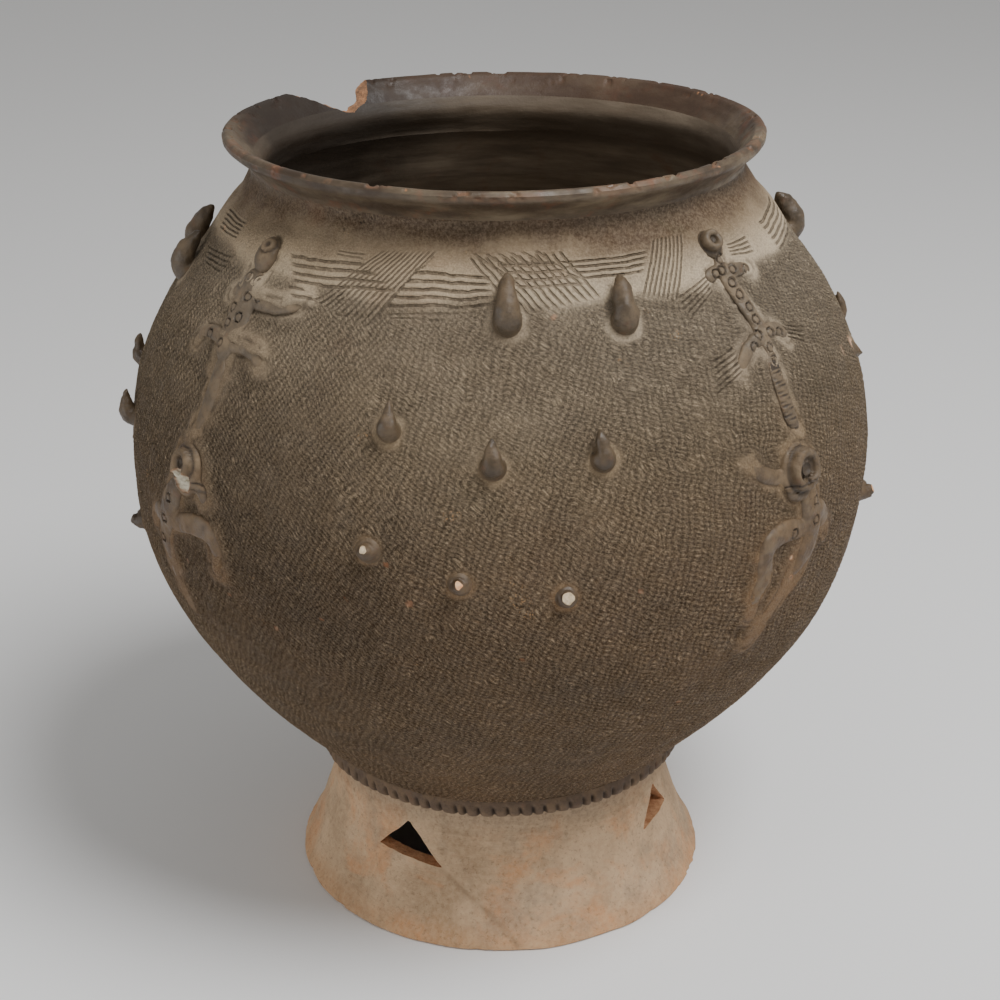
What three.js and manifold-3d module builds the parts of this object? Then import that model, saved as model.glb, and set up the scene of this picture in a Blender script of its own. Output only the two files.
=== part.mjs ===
// A hand built footed pot of fired clay: a coiled, round bellied body on an open foot with triangular
// windows, with rows of spikes and climbing lizard figures luted on its wall.
// Lengths are in millimetres and +Z is up. The origin is the centre of the ring that the foot stands on.
// An azimuth is in degrees from the front (-Y) and grows towards +X.

import * as THREE from 'three';
import { mergeVertices } from 'three/addons/utils/BufferGeometryUtils.js';
import Module from 'manifold-3d';

const wasm = await Module();
wasm.setup();

// Driving dimensions
const RIM_HEIGHT = 440;
const WALL = 9;
const NECK_THINNING = 0.7;
const JOINT_GAP = 0.3;
const LAP = 0.12;
const WALL_SEGMENTS = 72;
const FOOT_SEGMENTS = 48;
const FOOT_WALL = 9;
const STANDING_WIDTH = 7.8;
const CORDON_NOTCHES = 93;
const NOTCH_DEPTH = 1.8;
const CORDON_FACE = [[107.7, 82.5], [108.2, 88.9]];
const RIM_SHIFT = -2.2;
const RIM_START = 405;

// Outside of the body as [radius, height], from the middle of the rounded bottom up to the neck
const BODY_OUTLINE = [
  [0, 38], [38, 43.5], [70, 59], [94.5, 78], [126, 110], [161.7, 150], [187.9, 194], [199.6, 233],
  [202.5, 273], [197.1, 312], [181, 348], [159.7, 378], [146, 399], [136.5, 410], [131, 420],
];
const BOWL_END = 4;
const NECK_START = 13;
const THINNING_START = 11;

// The coiled courses of the wall, from and to in stations of the body outline
const COURSES = [
  { name: 'base_bowl', from: 0, to: BOWL_END, steps: 4, insideSteps: 4 },
  { name: 'lower_course', from: BOWL_END, to: 5.5, steps: 3, insideSteps: 2 },
  { name: 'lower_belly_course', from: 5.5, to: 7, steps: 3, insideSteps: 2 },
  { name: 'belly_course', from: 7, to: 8.5, steps: 3, insideSteps: 2 },
  { name: 'upper_belly_course', from: 8.5, to: 10, steps: 3, insideSteps: 2 },
  { name: 'shoulder_course', from: 10, to: THINNING_START, steps: 2, insideSteps: 2 },
  { name: 'comb_band_course', from: THINNING_START, to: NECK_START, steps: 2, insideSteps: 2 },
];

// The wall was beaten and smoothed by hand, and stands out or in by these waves: how far, how many times
// round the pot, over what height it winds, and where it starts
const HAND_WAVES = [
  { far: 0.45, times: 3, winding: 43, start: 0.4 },
  { far: 0.4, times: 5, winding: -31, start: 2.1 },
  { far: 0.3, times: 8, winding: 23, start: 4 },
  { far: 0.25, times: 13, winding: -17, start: 1 },
];
const HAND_WAVES_FROM = [92, 125];
const HAND_WAVES_TO = [390, 410];

// Neck and lip above the last joint, up the outside, over the lip and down the inside
const LIP_OUTLINE = [
  [131, 420], [132.5, 425.5], [137.3, 430.5], [142.1, 434.5], [142.8, 438], [140.5, RIM_HEIGHT],
  [137, 439.4], [131, 433], [126, 426.5], [124, 419.5],
];

// The piece broken out of the lip, seen from outside as [along the rim, height]
const CHIP_AZIMUTH = -134;
const CHIP_CUT = { from: 112, depth: 45 };
const CHIP_OUTLINE = [
  [31, 447], [29.5, 440], [18, 436.5], [8, 432], [-4, 426.5], [-9, 425.5], [-19, 429.5], [-24, 435],
  [-29, 440], [-31, 447],
];

// Outside of the foot as [radius, height], from the standing ring to just under the joint
const FOOT_OUTLINE = [[118.4, 0], [119.7, 2.6], [112.6, 15.4], [106, 33], [100.1, 50.6], [97.2, 66]];
const FOOT_TOP_OUTER = 3.1;
const FOOT_TOP_INNER = 2.74;

// Windows in the foot, each a triangle seen from outside as [along the wall, height]
const WINDOW_CUT = { from: 76, depth: 50 };
const WINDOWS = [
  { azimuth: -30, corners: [[-22.3, 43.1], [-3.2, 62.8], [20.7, 40.9]] },
  { azimuth: 63, corners: [[3.4, 61.8], [-16.7, 41.8], [16.2, 44.5]] },
  { azimuth: 152, corners: [[-3.3, 62.3], [-18.7, 44.5], [17.7, 41.8]] },
  { azimuth: -118, corners: [[2.2, 61.8], [-17.7, 42.3], [18.8, 45.6]] },
];

// Spikes of each panel as [azimuth, height], row by row from the top. The first row are long horns that
// curve up, the second are shorter thorns, and the third are stubs with broken tips. One thorn at the right
// is broken off flush, which leaves a scar.
const SPIKE_ROWS = { horn: 'top', thorn: 'middle', stub: 'low' };
const PANELS = [
  {
    name: 'front',
    horn: [[1.2, 381], [21.6, 379]],
    thorn: [[-15.8, 337], [-1, 324], [14.3, 325.5]],
    stub: [[-17.8, 282], [-5.3, 269], [8.8, 262]],
  },
  {
    name: 'right',
    horn: [[101, 374], [119, 372]],
    thorn: [[82, 327, 'scar'], [101, 322], [116, 321]],
    stub: [[79.5, 246], [94, 256], [107, 262]],
  },
  {
    name: 'back',
    horn: [[170, 381], [190, 380]],
    thorn: [[165, 329], [180, 325], [195, 327]],
    stub: [[163, 273], [176, 266], [190, 263]],
  },
  {
    name: 'left',
    horn: [[-97, 369], [-82, 367]],
    thorn: [[-109, 318], [-94, 305], [-77, 294]],
    stub: [[-108, 264], [-94, 256], [-76, 234]],
  },
];

// How each kind of spike leaves the wall: steps of [out of the wall, up along it], and its radius at each
const SPIKE_FORMS = {
  horn: {
    path: [[-4, 0], [3.4, 2], [6, 8.5], [6.4, 17], [6.2, 22]],
    radii: [8.8, 6.6, 5.2, 4.2, 1.8],
  },
  thorn: {
    path: [[-4, 0], [2.6, 1.2], [4.8, 5.5], [5.3, 10.5], [5.2, 13.5]],
    radii: [8.2, 5.6, 4, 2.8, 1.3],
  },
  stub: {
    path: [[-4, 0], [2.2, 0.4], [4.6, 1.4], [6.4, 2.6]],
    radii: [8.2, 5.2, 3.9, 2.4],
  },
  scar: {
    path: [[-4, 0], [0.9, 0.3], [1.9, 0.6]],
    radii: [8.2, 6.2, 4.4],
  },
};
const SPIKE_SIDES = 8;
const STRIP_SIDES = { body: 8, limb: 6 };
const DOME_STEPS = { round: 10, up: 6 };
const COIL_STEPS = { tube: 4, round: 9 };

// Lizards and creatures as they climb the wall. Paths are [azimuth, height]; the two at the back are the
// front ones carried half way round the pot.
const LIZARD_RIGHT = {
  head: { at: [45.3, 403], width: 6.6, length: 7.6, height: 5 },
  eye: { at: [45, 403.4], radius: 3.1, tube: 1 },
  spine: [[45.1, 398], [45.5, 388], [46.9, 378], [47.5, 369], [47.8, 361], [47.5, 352]],
  tail: [[47.6, 356], [47.1, 336], [47.4, 325], [48.2, 317]],
  legs: [
    [[46, 390], [43.5, 392], [40.8, 389.5]],
    [[46, 389.5], [50, 390], [53, 388.5]],
    [[47.8, 361], [44.3, 360], [41.5, 355.5], [40, 351.5]],
    [[47.6, 361.5], [51.2, 362.5], [53.6, 357.5]],
  ],
};
const LIZARD_LEFT = {
  head: { at: [-49.8, 396], width: 7.2, length: 9.6, height: 5 },
  eye: { at: [-49.5, 399], radius: 3.2, tube: 1 },
  spine: [[-50.1, 390], [-50.4, 379], [-50, 371], [-49.6, 363], [-49.2, 356], [-48.7, 349]],
  tail: [[-48.9, 352], [-48.4, 338], [-48.6, 327], [-49.6, 316]],
  legs: [
    [[-50.3, 381], [-53.2, 380], [-55.2, 376]],
    [[-50, 377.5], [-44.4, 376.5], [-40.3, 377.5], [-37.3, 380.5], [-36.3, 384.5]],
    [[-49.2, 356.5], [-44.7, 357.8], [-41.8, 357], [-40, 352.5]],
    [[-49.2, 357], [-53.8, 358.8], [-57.2, 357.5], [-58, 352.5]],
  ],
};
const CREATURE_RIGHT = {
  head: { at: [46.4, 299.5], width: 14, length: 15, height: 6.5 },
  eye: { at: [46.6, 301], radius: 8.4, tube: 2.1 },
  arm: [[45, 299], [41, 301.5], [38.2, 307], [37, 313]],
  spine: [[48.2, 292], [49.1, 276], [49.3, 264], [47.6, 253.4], [45.6, 244]],
  tail: [[46, 247], [42.4, 231], [39, 214]],
  legs: [
    [[49, 268], [43.7, 271.5], [40.2, 269.5], [39.2, 261], [39, 249], [38, 239], [38, 231]],
    [[48.8, 277], [52, 272], [54.2, 261]],
  ],
};
const CREATURE_LEFT = {
  head: { at: [-50, 297], width: 11.5, length: 14, height: 6 },
  eye: { at: [-50.1, 300], radius: 6, tube: 1.7 },
  arm: [[-49.3, 294], [-46.6, 289], [-45.8, 283]],
  spine: [[-51.4, 289], [-53.2, 281], [-55, 268], [-56.6, 252], [-56, 240]],
  tail: [[-56.2, 243], [-55.2, 231], [-53.5, 219]],
  legs: [
    [[-54.6, 263], [-50.4, 268.5], [-47.2, 270.4], [-44.5, 268.4], [-43.3, 261], [-43.5, 251]],
    [[-55, 266], [-58.4, 265], [-60, 257]],
  ],
};
const HALF_TURN = 180;
const FIGURES = [
  { place: 'front_right', lizard: LIZARD_RIGHT, creature: CREATURE_RIGHT, turn: 0 },
  { place: 'front_left', lizard: LIZARD_LEFT, creature: CREATURE_LEFT, turn: 0 },
  { place: 'back_left', lizard: LIZARD_RIGHT, creature: CREATURE_RIGHT, turn: -HALF_TURN },
  { place: 'back_right', lizard: LIZARD_LEFT, creature: CREATURE_LEFT, turn: HALF_TURN },
];

// Half widths and heights of the strips of clay that the figures are made of, from start to end
const SLIM_STRIP = { widths: [4.6, 5.2, 5, 4.4], heights: [2.8, 3, 2.9, 2.4] };
const BROAD_STRIP = { widths: [7, 7.8, 6.8, 5], heights: [3.2, 3.4, 3.2, 2.6] };
const CREATURE_STRIP = { widths: [7, 8, 6.6, 5], heights: [4.4, 4.8, 4.2, 3] };
const LEG_STRIP = { widths: [4, 3.8, 3.6, 3.4], heights: [2.8, 2.8, 2.4, 1.8] };
const CREATURE_LEG_STRIP = { widths: [5.2, 5.6, 5, 4.2], heights: [3.8, 4.2, 3.6, 2.4] };
const ARM_STRIP = { widths: [4.6, 4.2, 3.4], heights: [3.4, 2.8, 1.8] };
const TAIL_STRIP = { widths: [4.4, 5, 3.6], heights: [2.4, 2, 1.5] };

const CLAY = {
  body: { color: 0x5f5548, roughness: 0.85, metalness: 0 },
  neck: { color: 0x3f372f, roughness: 0.5, metalness: 0 },
  foot: { color: 0x86725f, roughness: 0.9, metalness: 0 },
  cordon: { color: 0x4b4238, roughness: 0.85, metalness: 0 },
  relief: { color: 0x4f463b, roughness: 0.75, metalness: 0 },
};

const pot = new THREE.Group();
pot.name = 'footed_pot';

// Adds one named piece, with a material of its own
function addPiece(name, geometry, clay) {
  geometry.computeVertexNormals();
  const mesh = new THREE.Mesh(geometry, new THREE.MeshStandardMaterial(clay));
  mesh.name = name;
  pot.add(mesh);
}

// Signed volume of a closed geometry, six times over
function sixVolumes(geometry) {
  const position = geometry.attributes.position;
  const index = geometry.index.array;
  const corner = [new THREE.Vector3(), new THREE.Vector3(), new THREE.Vector3()];
  let sum = 0;
  for (let i = 0; i < index.length; i += 3) {
    corner.forEach((point, k) => point.fromBufferAttribute(position, index[i + k]));
    sum += corner[0].dot(corner[1].clone().cross(corner[2]));
  }
  return sum;
}

// Merges the seams of a geometry, drops the flat triangles at its poles and turns its faces outwards
function closed(source) {
  source.deleteAttribute('normal');
  source.deleteAttribute('uv');
  const geometry = mergeVertices(source, 1e-4);
  const index = geometry.index.array;
  const kept = [];
  for (let i = 0; i < index.length; i += 3) {
    const [a, b, c] = [index[i], index[i + 1], index[i + 2]];
    if (a !== b && b !== c && c !== a) {
      kept.push(a, b, c);
    }
  }
  geometry.setIndex(kept);
  if (sixVolumes(geometry) < 0) {
    kept.reverse();
    geometry.setIndex(kept);
  }
  return geometry;
}

// A closed geometry as a solid that can be joined and cut
function solid(geometry) {
  return new wasm.Manifold(new wasm.Mesh({
    numProp: 3,
    vertProperties: new Float32Array(geometry.attributes.position.array),
    triVerts: new Uint32Array(geometry.index.array),
  }));
}

// A solid back as a geometry
function geometryOf(manifold) {
  const mesh = manifold.getMesh();
  const geometry = new THREE.BufferGeometry();
  geometry.setAttribute('position', new THREE.BufferAttribute(new Float32Array(mesh.vertProperties), 3));
  geometry.setIndex(new THREE.BufferAttribute(new Uint32Array(mesh.triVerts), 1));
  return geometry;
}

// Turns a profile of [radius, height] points about the vertical axis
function turned(profile, segments) {
  const points = profile.map(([radius, height]) => new THREE.Vector2(radius, height));
  return closed(new THREE.LatheGeometry(points, segments).rotateX(Math.PI / 2));
}

// Places on the body outline, by station
const bodyCurve = new THREE.SplineCurve(BODY_OUTLINE.map(([r, z]) => new THREE.Vector2(r, z)));
const LAST_STATION = BODY_OUTLINE.length - 1;

function alongBody(station) {
  return bodyCurve.getTangent(station / LAST_STATION);
}

function outside(station, lift = 0) {
  const point = bodyCurve.getPoint(station / LAST_STATION);
  const along = alongBody(station);
  const radius = station === 0 ? 0 : point.x + along.y * lift;
  return [radius, point.y - along.x * lift];
}

function inside(station) {
  const thinning = Math.max(0, station - THINNING_START) * NECK_THINNING;
  return outside(station, thinning - WALL);
}

function stationAt(height) {
  let low = 2;
  let high = LAST_STATION;
  for (let i = 0; i < 40; i += 1) {
    const middle = (low + high) / 2;
    if (outside(middle)[1] < height) {
      low = middle;
    } else {
      high = middle;
    }
  }
  return low;
}

// Directions at an azimuth, and places and directions on the wall
function outwards(azimuth) {
  const angle = THREE.MathUtils.degToRad(azimuth);
  return new THREE.Vector3(Math.sin(angle), -Math.cos(angle), 0);
}

function sideways(azimuth) {
  const angle = THREE.MathUtils.degToRad(azimuth);
  return new THREE.Vector3(Math.cos(angle), Math.sin(angle), 0);
}

const UP = new THREE.Vector3(0, 0, 1);

function wallNormal(azimuth, height) {
  const along = alongBody(stationAt(height));
  return outwards(azimuth).multiplyScalar(along.y).addScaledVector(UP, -along.x);
}

// Up along the wall
function upWall(azimuth, height) {
  const along = alongBody(stationAt(height));
  return outwards(azimuth).multiplyScalar(along.x).addScaledVector(UP, along.y);
}

// How far the hand made wall stands out from its even outline, at a turn in radians and a height
function handWave(turn, height) {
  const sum = HAND_WAVES.reduce((total, { far, times, winding, start }) => {
    return total + far * Math.sin(times * turn + height / winding + start);
  }, 0);
  const from = THREE.MathUtils.smoothstep(height, ...HAND_WAVES_FROM);
  return sum * from * (1 - THREE.MathUtils.smoothstep(height, ...HAND_WAVES_TO));
}

function onWall(azimuth, height, lift) {
  const wave = handWave(THREE.MathUtils.degToRad(azimuth), height);
  const [radius, z] = outside(stationAt(height), lift + wave);
  return outwards(azimuth).multiplyScalar(radius).setZ(z);
}

// Gives the outside of a turned wall its hand made waves, and leaves its inside even
function handBuilt(geometry) {
  const position = geometry.attributes.position;
  for (let i = 0; i < position.count; i += 1) {
    const point = new THREE.Vector3().fromBufferAttribute(position, i);
    const turn = Math.atan2(point.x, -point.y);
    const isOutside = Math.hypot(point.x, point.y) > outside(stationAt(point.z))[0] - WALL / 4;
    if (isOutside && point.z > HAND_WAVES_FROM[0]) {
      point.addScaledVector(wallNormal(THREE.MathUtils.radToDeg(turn), point.z), handWave(turn, point.z));
      position.setXYZ(i, point.x, point.y, point.z);
    }
  }
  return geometry;
}

// The rim isn't a true circle: it was pushed out of round as the pot was lifted and dried
function outOfRound(geometry) {
  const position = geometry.attributes.position;
  for (let i = 0; i < position.count; i += 1) {
    const x = position.getX(i);
    const y = position.getY(i);
    const share = THREE.MathUtils.smoothstep(position.getZ(i), RIM_START, RIM_HEIGHT);
    const angle = Math.atan2(x, -y);
    const wave = -0.0151 * Math.sin(2 * angle) + 0.011 * Math.cos(3 * angle) + 0.0039 * Math.sin(3 * angle);
    const scale = 1 + share * wave;
    position.setXY(i, x * scale + share * RIM_SHIFT, y * scale);
  }
  return geometry;
}

// A station's point moved up along the wall by the joint's gap
function aboveJoint(station, point) {
  const along = alongBody(station);
  return [point[0] + along.x * JOINT_GAP, point[1] + along.y * JOINT_GAP];
}

// One coiled course: its joints slant up towards the inside
function courseProfile({ from, to, steps, insideSteps }) {
  const outer = [];
  const inner = [];
  const innerFrom = from === 0 ? 0 : from + LAP;
  for (let i = 0; i <= steps; i += 1) {
    outer.push(outside(from + (to - from) * i / steps));
  }
  for (let i = 0; i <= insideSteps; i += 1) {
    inner.unshift(inside(innerFrom + (to + LAP - innerFrom) * i / insideSteps));
  }
  if (from === 0) {
    return [...outer, ...inner];
  }
  outer[0] = aboveJoint(from, outer[0]);
  inner[inner.length - 1] = aboveJoint(innerFrom, inner[inner.length - 1]);
  return [...outer, ...inner, outer[0]];
}

function addCourses() {
  COURSES.forEach((course) => {
    const clay = course.name === 'base_bowl' ? CLAY.cordon : CLAY.body;
    const even = turned(courseProfile(course), WALL_SEGMENTS);
    addPiece(course.name, outOfRound(handBuilt(even)), clay);
  });
}

// A flat outline seen from outside at an azimuth, pushed radially through a wall
function radialCutter(outline, azimuth, { from, depth }) {
  const shape = new THREE.Shape(outline.map(([along, height]) => new THREE.Vector2(along, height)));
  const cutter = new THREE.ExtrudeGeometry(shape, { depth, bevelEnabled: false });
  const place = new THREE.Matrix4().makeBasis(sideways(azimuth), UP, outwards(azimuth));
  place.setPosition(outwards(azimuth).multiplyScalar(from));
  return solid(closed(cutter.applyMatrix4(place)));
}

function addNeck() {
  const first = aboveJoint(NECK_START, outside(NECK_START));
  const last = aboveJoint(NECK_START + LAP, inside(NECK_START + LAP));
  const neck = outOfRound(turned([first, ...LIP_OUTLINE, last, first], WALL_SEGMENTS));
  const chip = radialCutter(CHIP_OUTLINE, CHIP_AZIMUTH, CHIP_CUT);
  addPiece('neck_and_lip', geometryOf(solid(neck).subtract(chip)), CLAY.neck);
}

// The foot's top edge is slanted, and follows the bowl that it carries
function addFoot() {
  const innerSide = [FOOT_OUTLINE[5], FOOT_OUTLINE[3]].map(([r, z]) => [r - FOOT_WALL, z]);
  const standing = [FOOT_OUTLINE[0][0] - STANDING_WIDTH, 0];
  const top = [outside(FOOT_TOP_OUTER, JOINT_GAP * 1.4), outside(FOOT_TOP_INNER, JOINT_GAP * 1.4)];
  const profile = [...FOOT_OUTLINE, ...top, ...innerSide, standing, FOOT_OUTLINE[0]];
  let foot = solid(turned(profile, FOOT_SEGMENTS));
  WINDOWS.forEach(({ azimuth, corners }) => {
    foot = foot.subtract(radialCutter(corners, azimuth, WINDOW_CUT));
  });
  addPiece('foot_ring', geometryOf(foot), CLAY.foot);
}

// The cordon stands proud of bowl and foot, and is notched all the way round
function addCordon() {
  const seat = [outside(3.15, JOINT_GAP * 1.3), outside(3.33, JOINT_GAP * 1.3)];
  const profile = [seat[0], ...CORDON_FACE, seat[1]];
  const columns = CORDON_NOTCHES * 2;
  const cordon = turned([...profile, profile[0]], columns);
  const position = cordon.attributes.position;
  for (let i = 0; i < position.count; i += 1) {
    const x = position.getX(i);
    const y = position.getY(i);
    const radius = Math.hypot(x, y);
    const column = Math.round(Math.atan2(x, -y) / (2 * Math.PI) * columns);
    if (radius > CORDON_FACE[0][0] - NOTCH_DEPTH && Math.abs(column) % 2 === 1) {
      const scale = 1 - NOTCH_DEPTH / radius;
      position.setXY(i, x * scale, y * scale);
    }
  }
  addPiece('notched_cordon', cordon, CLAY.cordon);
}

function addLutingCoil() {
  const profile = [outside(2.66, JOINT_GAP * 1.3), outside(2.2, JOINT_GAP * 1.3), [80, 59.5], [87.6, 58.5]];
  addPiece('inner_luting_coil', turned([...profile, profile[0]], FOOT_SEGMENTS), CLAY.foot);
}

// The whole outside of the wall grown by the joint's gap, which cuts the seat of what is luted on it
function wallEnvelope() {
  const rows = COURSES.flatMap(({ from, to, steps }) => {
    const stations = Array.from({ length: steps }, (_, i) => from + (to - from) * i / steps);
    return stations.map((station) => outside(station, JOINT_GAP));
  });
  const top = outside(LAST_STATION, JOINT_GAP);
  rows.push(outside(NECK_START, JOINT_GAP), top, [0, top[1]]);
  return solid(outOfRound(handBuilt(turned(rows, WALL_SEGMENTS))));
}

const envelope = wallEnvelope();

// Value at a share from 0 to 1 along a list
function sample(list, share) {
  const place = share * (list.length - 1);
  const first = Math.min(Math.floor(place), list.length - 2);
  return THREE.MathUtils.lerp(list[first], list[first + 1], place - first);
}

// A rod of clay drawn along a path, with an oval section that changes from end to end
function rod(path, widths, heights, raised, sides, steps) {
  const curve = new THREE.CatmullRomCurve3(path);
  const geometry = new THREE.CylinderGeometry(1, 1, 1, sides, steps);
  const position = geometry.attributes.position;
  for (let i = 0; i < position.count; i += 1) {
    const share = THREE.MathUtils.clamp(position.getY(i) + 0.5, 0, 1);
    const centre = curve.getPoint(share);
    const along = curve.getTangent(share);
    const side = along.clone().cross(raised(centre)).normalize();
    const out = side.clone().cross(along);
    centre.addScaledVector(side, position.getX(i) * sample(widths, share));
    centre.addScaledVector(out, position.getZ(i) * sample(heights, share));
    position.setXYZ(i, centre.x, centre.y, centre.z);
  }
  return solid(closed(geometry));
}

// A spike with its root cut to sit on the wall
function spike(kind, azimuth, height) {
  const { path, radii } = SPIKE_FORMS[kind];
  const normal = wallNormal(azimuth, height);
  const upwards = upWall(azimuth, height);
  const seat = onWall(azimuth, height, 0);
  const points = path.map(([out, rise]) => {
    return seat.clone().addScaledVector(normal, out).addScaledVector(upwards, rise);
  });
  const form = rod(points, radii, radii, () => sideways(azimuth), SPIKE_SIDES, points.length - 1);
  return geometryOf(form.subtract(envelope));
}

function addSpikes() {
  PANELS.forEach((panel) => {
    Object.entries(SPIKE_ROWS).forEach(([kind, row]) => {
      panel[kind].forEach(([azimuth, height, form = kind], i) => {
        addPiece(`spike_${panel.name}_${row}_${i + 1}`, spike(form, azimuth, height), CLAY.relief);
      });
    });
  });
}

// A strip of clay laid on the wall along [azimuth, height] points
function strip(path, { widths, heights }, turn, sides) {
  const points = path.map(([azimuth, height]) => onWall(azimuth + turn, height, 0));
  const raised = (point) => {
    return wallNormal(THREE.MathUtils.radToDeg(Math.atan2(point.x, -point.y)), point.z);
  };
  return rod(points, widths, heights, raised, sides, Math.max(3, path.length));
}

// A dome on the wall, grown by a margin
function dome({ at, width, length, height }, turn, margin) {
  const [azimuth, z] = at;
  const normal = wallNormal(azimuth + turn, z);
  const side = sideways(azimuth + turn);
  const form = new THREE.SphereGeometry(1, DOME_STEPS.round, DOME_STEPS.up);
  form.scale(width + margin, height + margin, length + margin);
  const place = new THREE.Matrix4().makeBasis(side, normal, side.clone().cross(normal));
  place.setPosition(onWall(azimuth + turn, z, 0));
  return solid(closed(form.applyMatrix4(place)));
}

// The coil that rings an eye, lying on the dome of the head
function eyeRing(head, { at, radius, tube }, turn) {
  const [azimuth, z] = at;
  const normal = wallNormal(azimuth + turn, z);
  const side = sideways(azimuth + turn);
  const ring = new THREE.TorusGeometry(radius, tube, COIL_STEPS.tube, COIL_STEPS.round);
  const place = new THREE.Matrix4().makeBasis(side, normal.clone().cross(side), normal);
  place.setPosition(onWall(azimuth + turn, z, head.height - tube));
  return solid(closed(ring.applyMatrix4(place)));
}

function addFigure(name, figure, bodyStrip, legStrip, turn) {
  const headSolid = dome(figure.head, turn, 0);
  let head = headSolid.add(eyeRing(figure.head, figure.eye, turn));
  if (figure.arm) {
    head = head.add(strip(figure.arm, ARM_STRIP, turn, STRIP_SIDES.limb));
  }
  let body = strip(figure.spine, bodyStrip, turn, STRIP_SIDES.body);
  body = body.add(strip(figure.tail, TAIL_STRIP, turn, STRIP_SIDES.limb));
  figure.legs.forEach((leg) => {
    body = body.add(strip(leg, legStrip, turn, STRIP_SIDES.limb));
  });
  let clearance = dome(figure.head, turn, JOINT_GAP * 1.5);
  if (figure.arm) {
    const armClearance = {
      widths: ARM_STRIP.widths.map((width) => width + JOINT_GAP * 1.5),
      heights: ARM_STRIP.heights.map((height) => height + JOINT_GAP * 1.5),
    };
    clearance = clearance.add(strip(figure.arm, armClearance, turn, STRIP_SIDES.limb));
  }
  addPiece(`${name}_head`, geometryOf(head.subtract(envelope)), CLAY.relief);
  addPiece(`${name}_body`, geometryOf(body.subtract(clearance).subtract(envelope)), CLAY.relief);
}

function addFigures() {
  FIGURES.forEach(({ place, lizard, creature, turn }) => {
    const lizardStrip = lizard === LIZARD_LEFT ? BROAD_STRIP : SLIM_STRIP;
    addFigure(`lizard_${place}`, lizard, lizardStrip, LEG_STRIP, turn);
    addFigure(`creature_${place}`, creature, CREATURE_STRIP, CREATURE_LEG_STRIP, turn);
  });
}

addFoot();
addCourses();
addNeck();
addCordon();
addLutingCoil();
addSpikes();
addFigures();

export default pot;
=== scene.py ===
"""Looks of a hand built footed pot of fired clay.

Lengths are in millimetres until they are given to a mesh, which is in metres. +Z is up. An azimuth is in
degrees from the front (-Y) and grows towards +X. A place on the wall is [azimuth, height].
"""

import math

import bpy
import numpy as np
from mathutils import Matrix, Vector


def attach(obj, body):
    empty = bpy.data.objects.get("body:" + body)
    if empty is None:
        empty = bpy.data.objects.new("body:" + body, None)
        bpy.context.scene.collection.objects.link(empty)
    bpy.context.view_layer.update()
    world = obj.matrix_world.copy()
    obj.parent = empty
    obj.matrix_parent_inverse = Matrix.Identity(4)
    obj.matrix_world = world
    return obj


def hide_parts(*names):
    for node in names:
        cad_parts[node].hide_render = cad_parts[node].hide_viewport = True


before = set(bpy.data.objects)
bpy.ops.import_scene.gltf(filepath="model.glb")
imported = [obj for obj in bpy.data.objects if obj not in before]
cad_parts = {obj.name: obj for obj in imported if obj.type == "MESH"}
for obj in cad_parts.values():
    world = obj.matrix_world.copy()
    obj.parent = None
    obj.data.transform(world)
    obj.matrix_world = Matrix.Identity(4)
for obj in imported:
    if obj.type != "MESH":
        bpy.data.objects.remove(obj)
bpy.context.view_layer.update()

MM = 0.001
BODY = "root"

# How finely the wall is drawn: columns round the pot, and the height of a row in millimetres
COLUMNS = 1120
FINE_ROW = 0.8
WALL_ROW = 1.1
COARSE_ROW = 12.0

# The body's outside as [radius, height], from the middle of the rounded bottom up to the neck
BODY_OUTLINE = np.array([
    [0, 38], [38, 43.5], [70, 59], [94.5, 78], [126, 110], [161.7, 150], [187.9, 194], [199.6, 233],
    [202.5, 273], [197.1, 312], [181, 348], [159.7, 378], [146, 399], [136.5, 410], [131, 420],
], float)
WALL = 9.0
NECK_THINNING = 0.7
THINNING_START = 11
LAP = 0.12
NECK_START = 13
RIM_HEIGHT = 440.0
RIM_SHIFT = -2.2
RIM_START = 405.0

# Coiled courses from bottom to top, from and to in stations of the body outline
COURSES = [
    ("lower_course", 4, 5.5, WALL_ROW),
    ("lower_belly_course", 5.5, 7, WALL_ROW),
    ("belly_course", 7, 8.5, WALL_ROW),
    ("upper_belly_course", 8.5, 10, WALL_ROW),
    ("shoulder_course", 10, 11, FINE_ROW),
    ("comb_band_course", 11, 13, FINE_ROW),
]

LIP_OUTSIDE = [[136.5, 410], [131, 420], [132.5, 425.5], [137.3, 430.5], [142.1, 434.5], [143, 438]]
LIP_TOP = [[143, 438], [140.7, 440.2], [137, 439.4]]
LIP_INSIDE = [[137, 439.4], [131, 433], [126, 426.5], [124, 419.5]]
CHIP_AZIMUTH = -134
CHIP_OUTLINE = [
    [31, 447], [29.5, 440], [18, 436.5], [8, 432], [-4, 426.5], [-9, 425.5], [-19, 429.5], [-24, 435],
    [-29, 440], [-31, 447],
]

FOOT_OUTSIDE = [[118.4, 0], [119.7, 2.6], [112.6, 15.4], [106, 33], [100.1, 50.6], [97.2, 66]]
FOOT_INSIDE = [[88.2, 66], [97, 33], [110.6, 0]]
WINDOWS = [
    (-30, [[-22.3, 43.1], [-3.2, 62.8], [20.7, 40.9]]),
    (63, [[3.4, 61.8], [-16.7, 41.8], [16.2, 44.5]]),
    (152, [[-3.3, 62.3], [-18.7, 44.5], [17.7, 41.8]]),
    (-118, [[2.2, 61.8], [-17.7, 42.3], [18.8, 45.6]]),
]

CORDON_NOTCHES = 93

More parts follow.
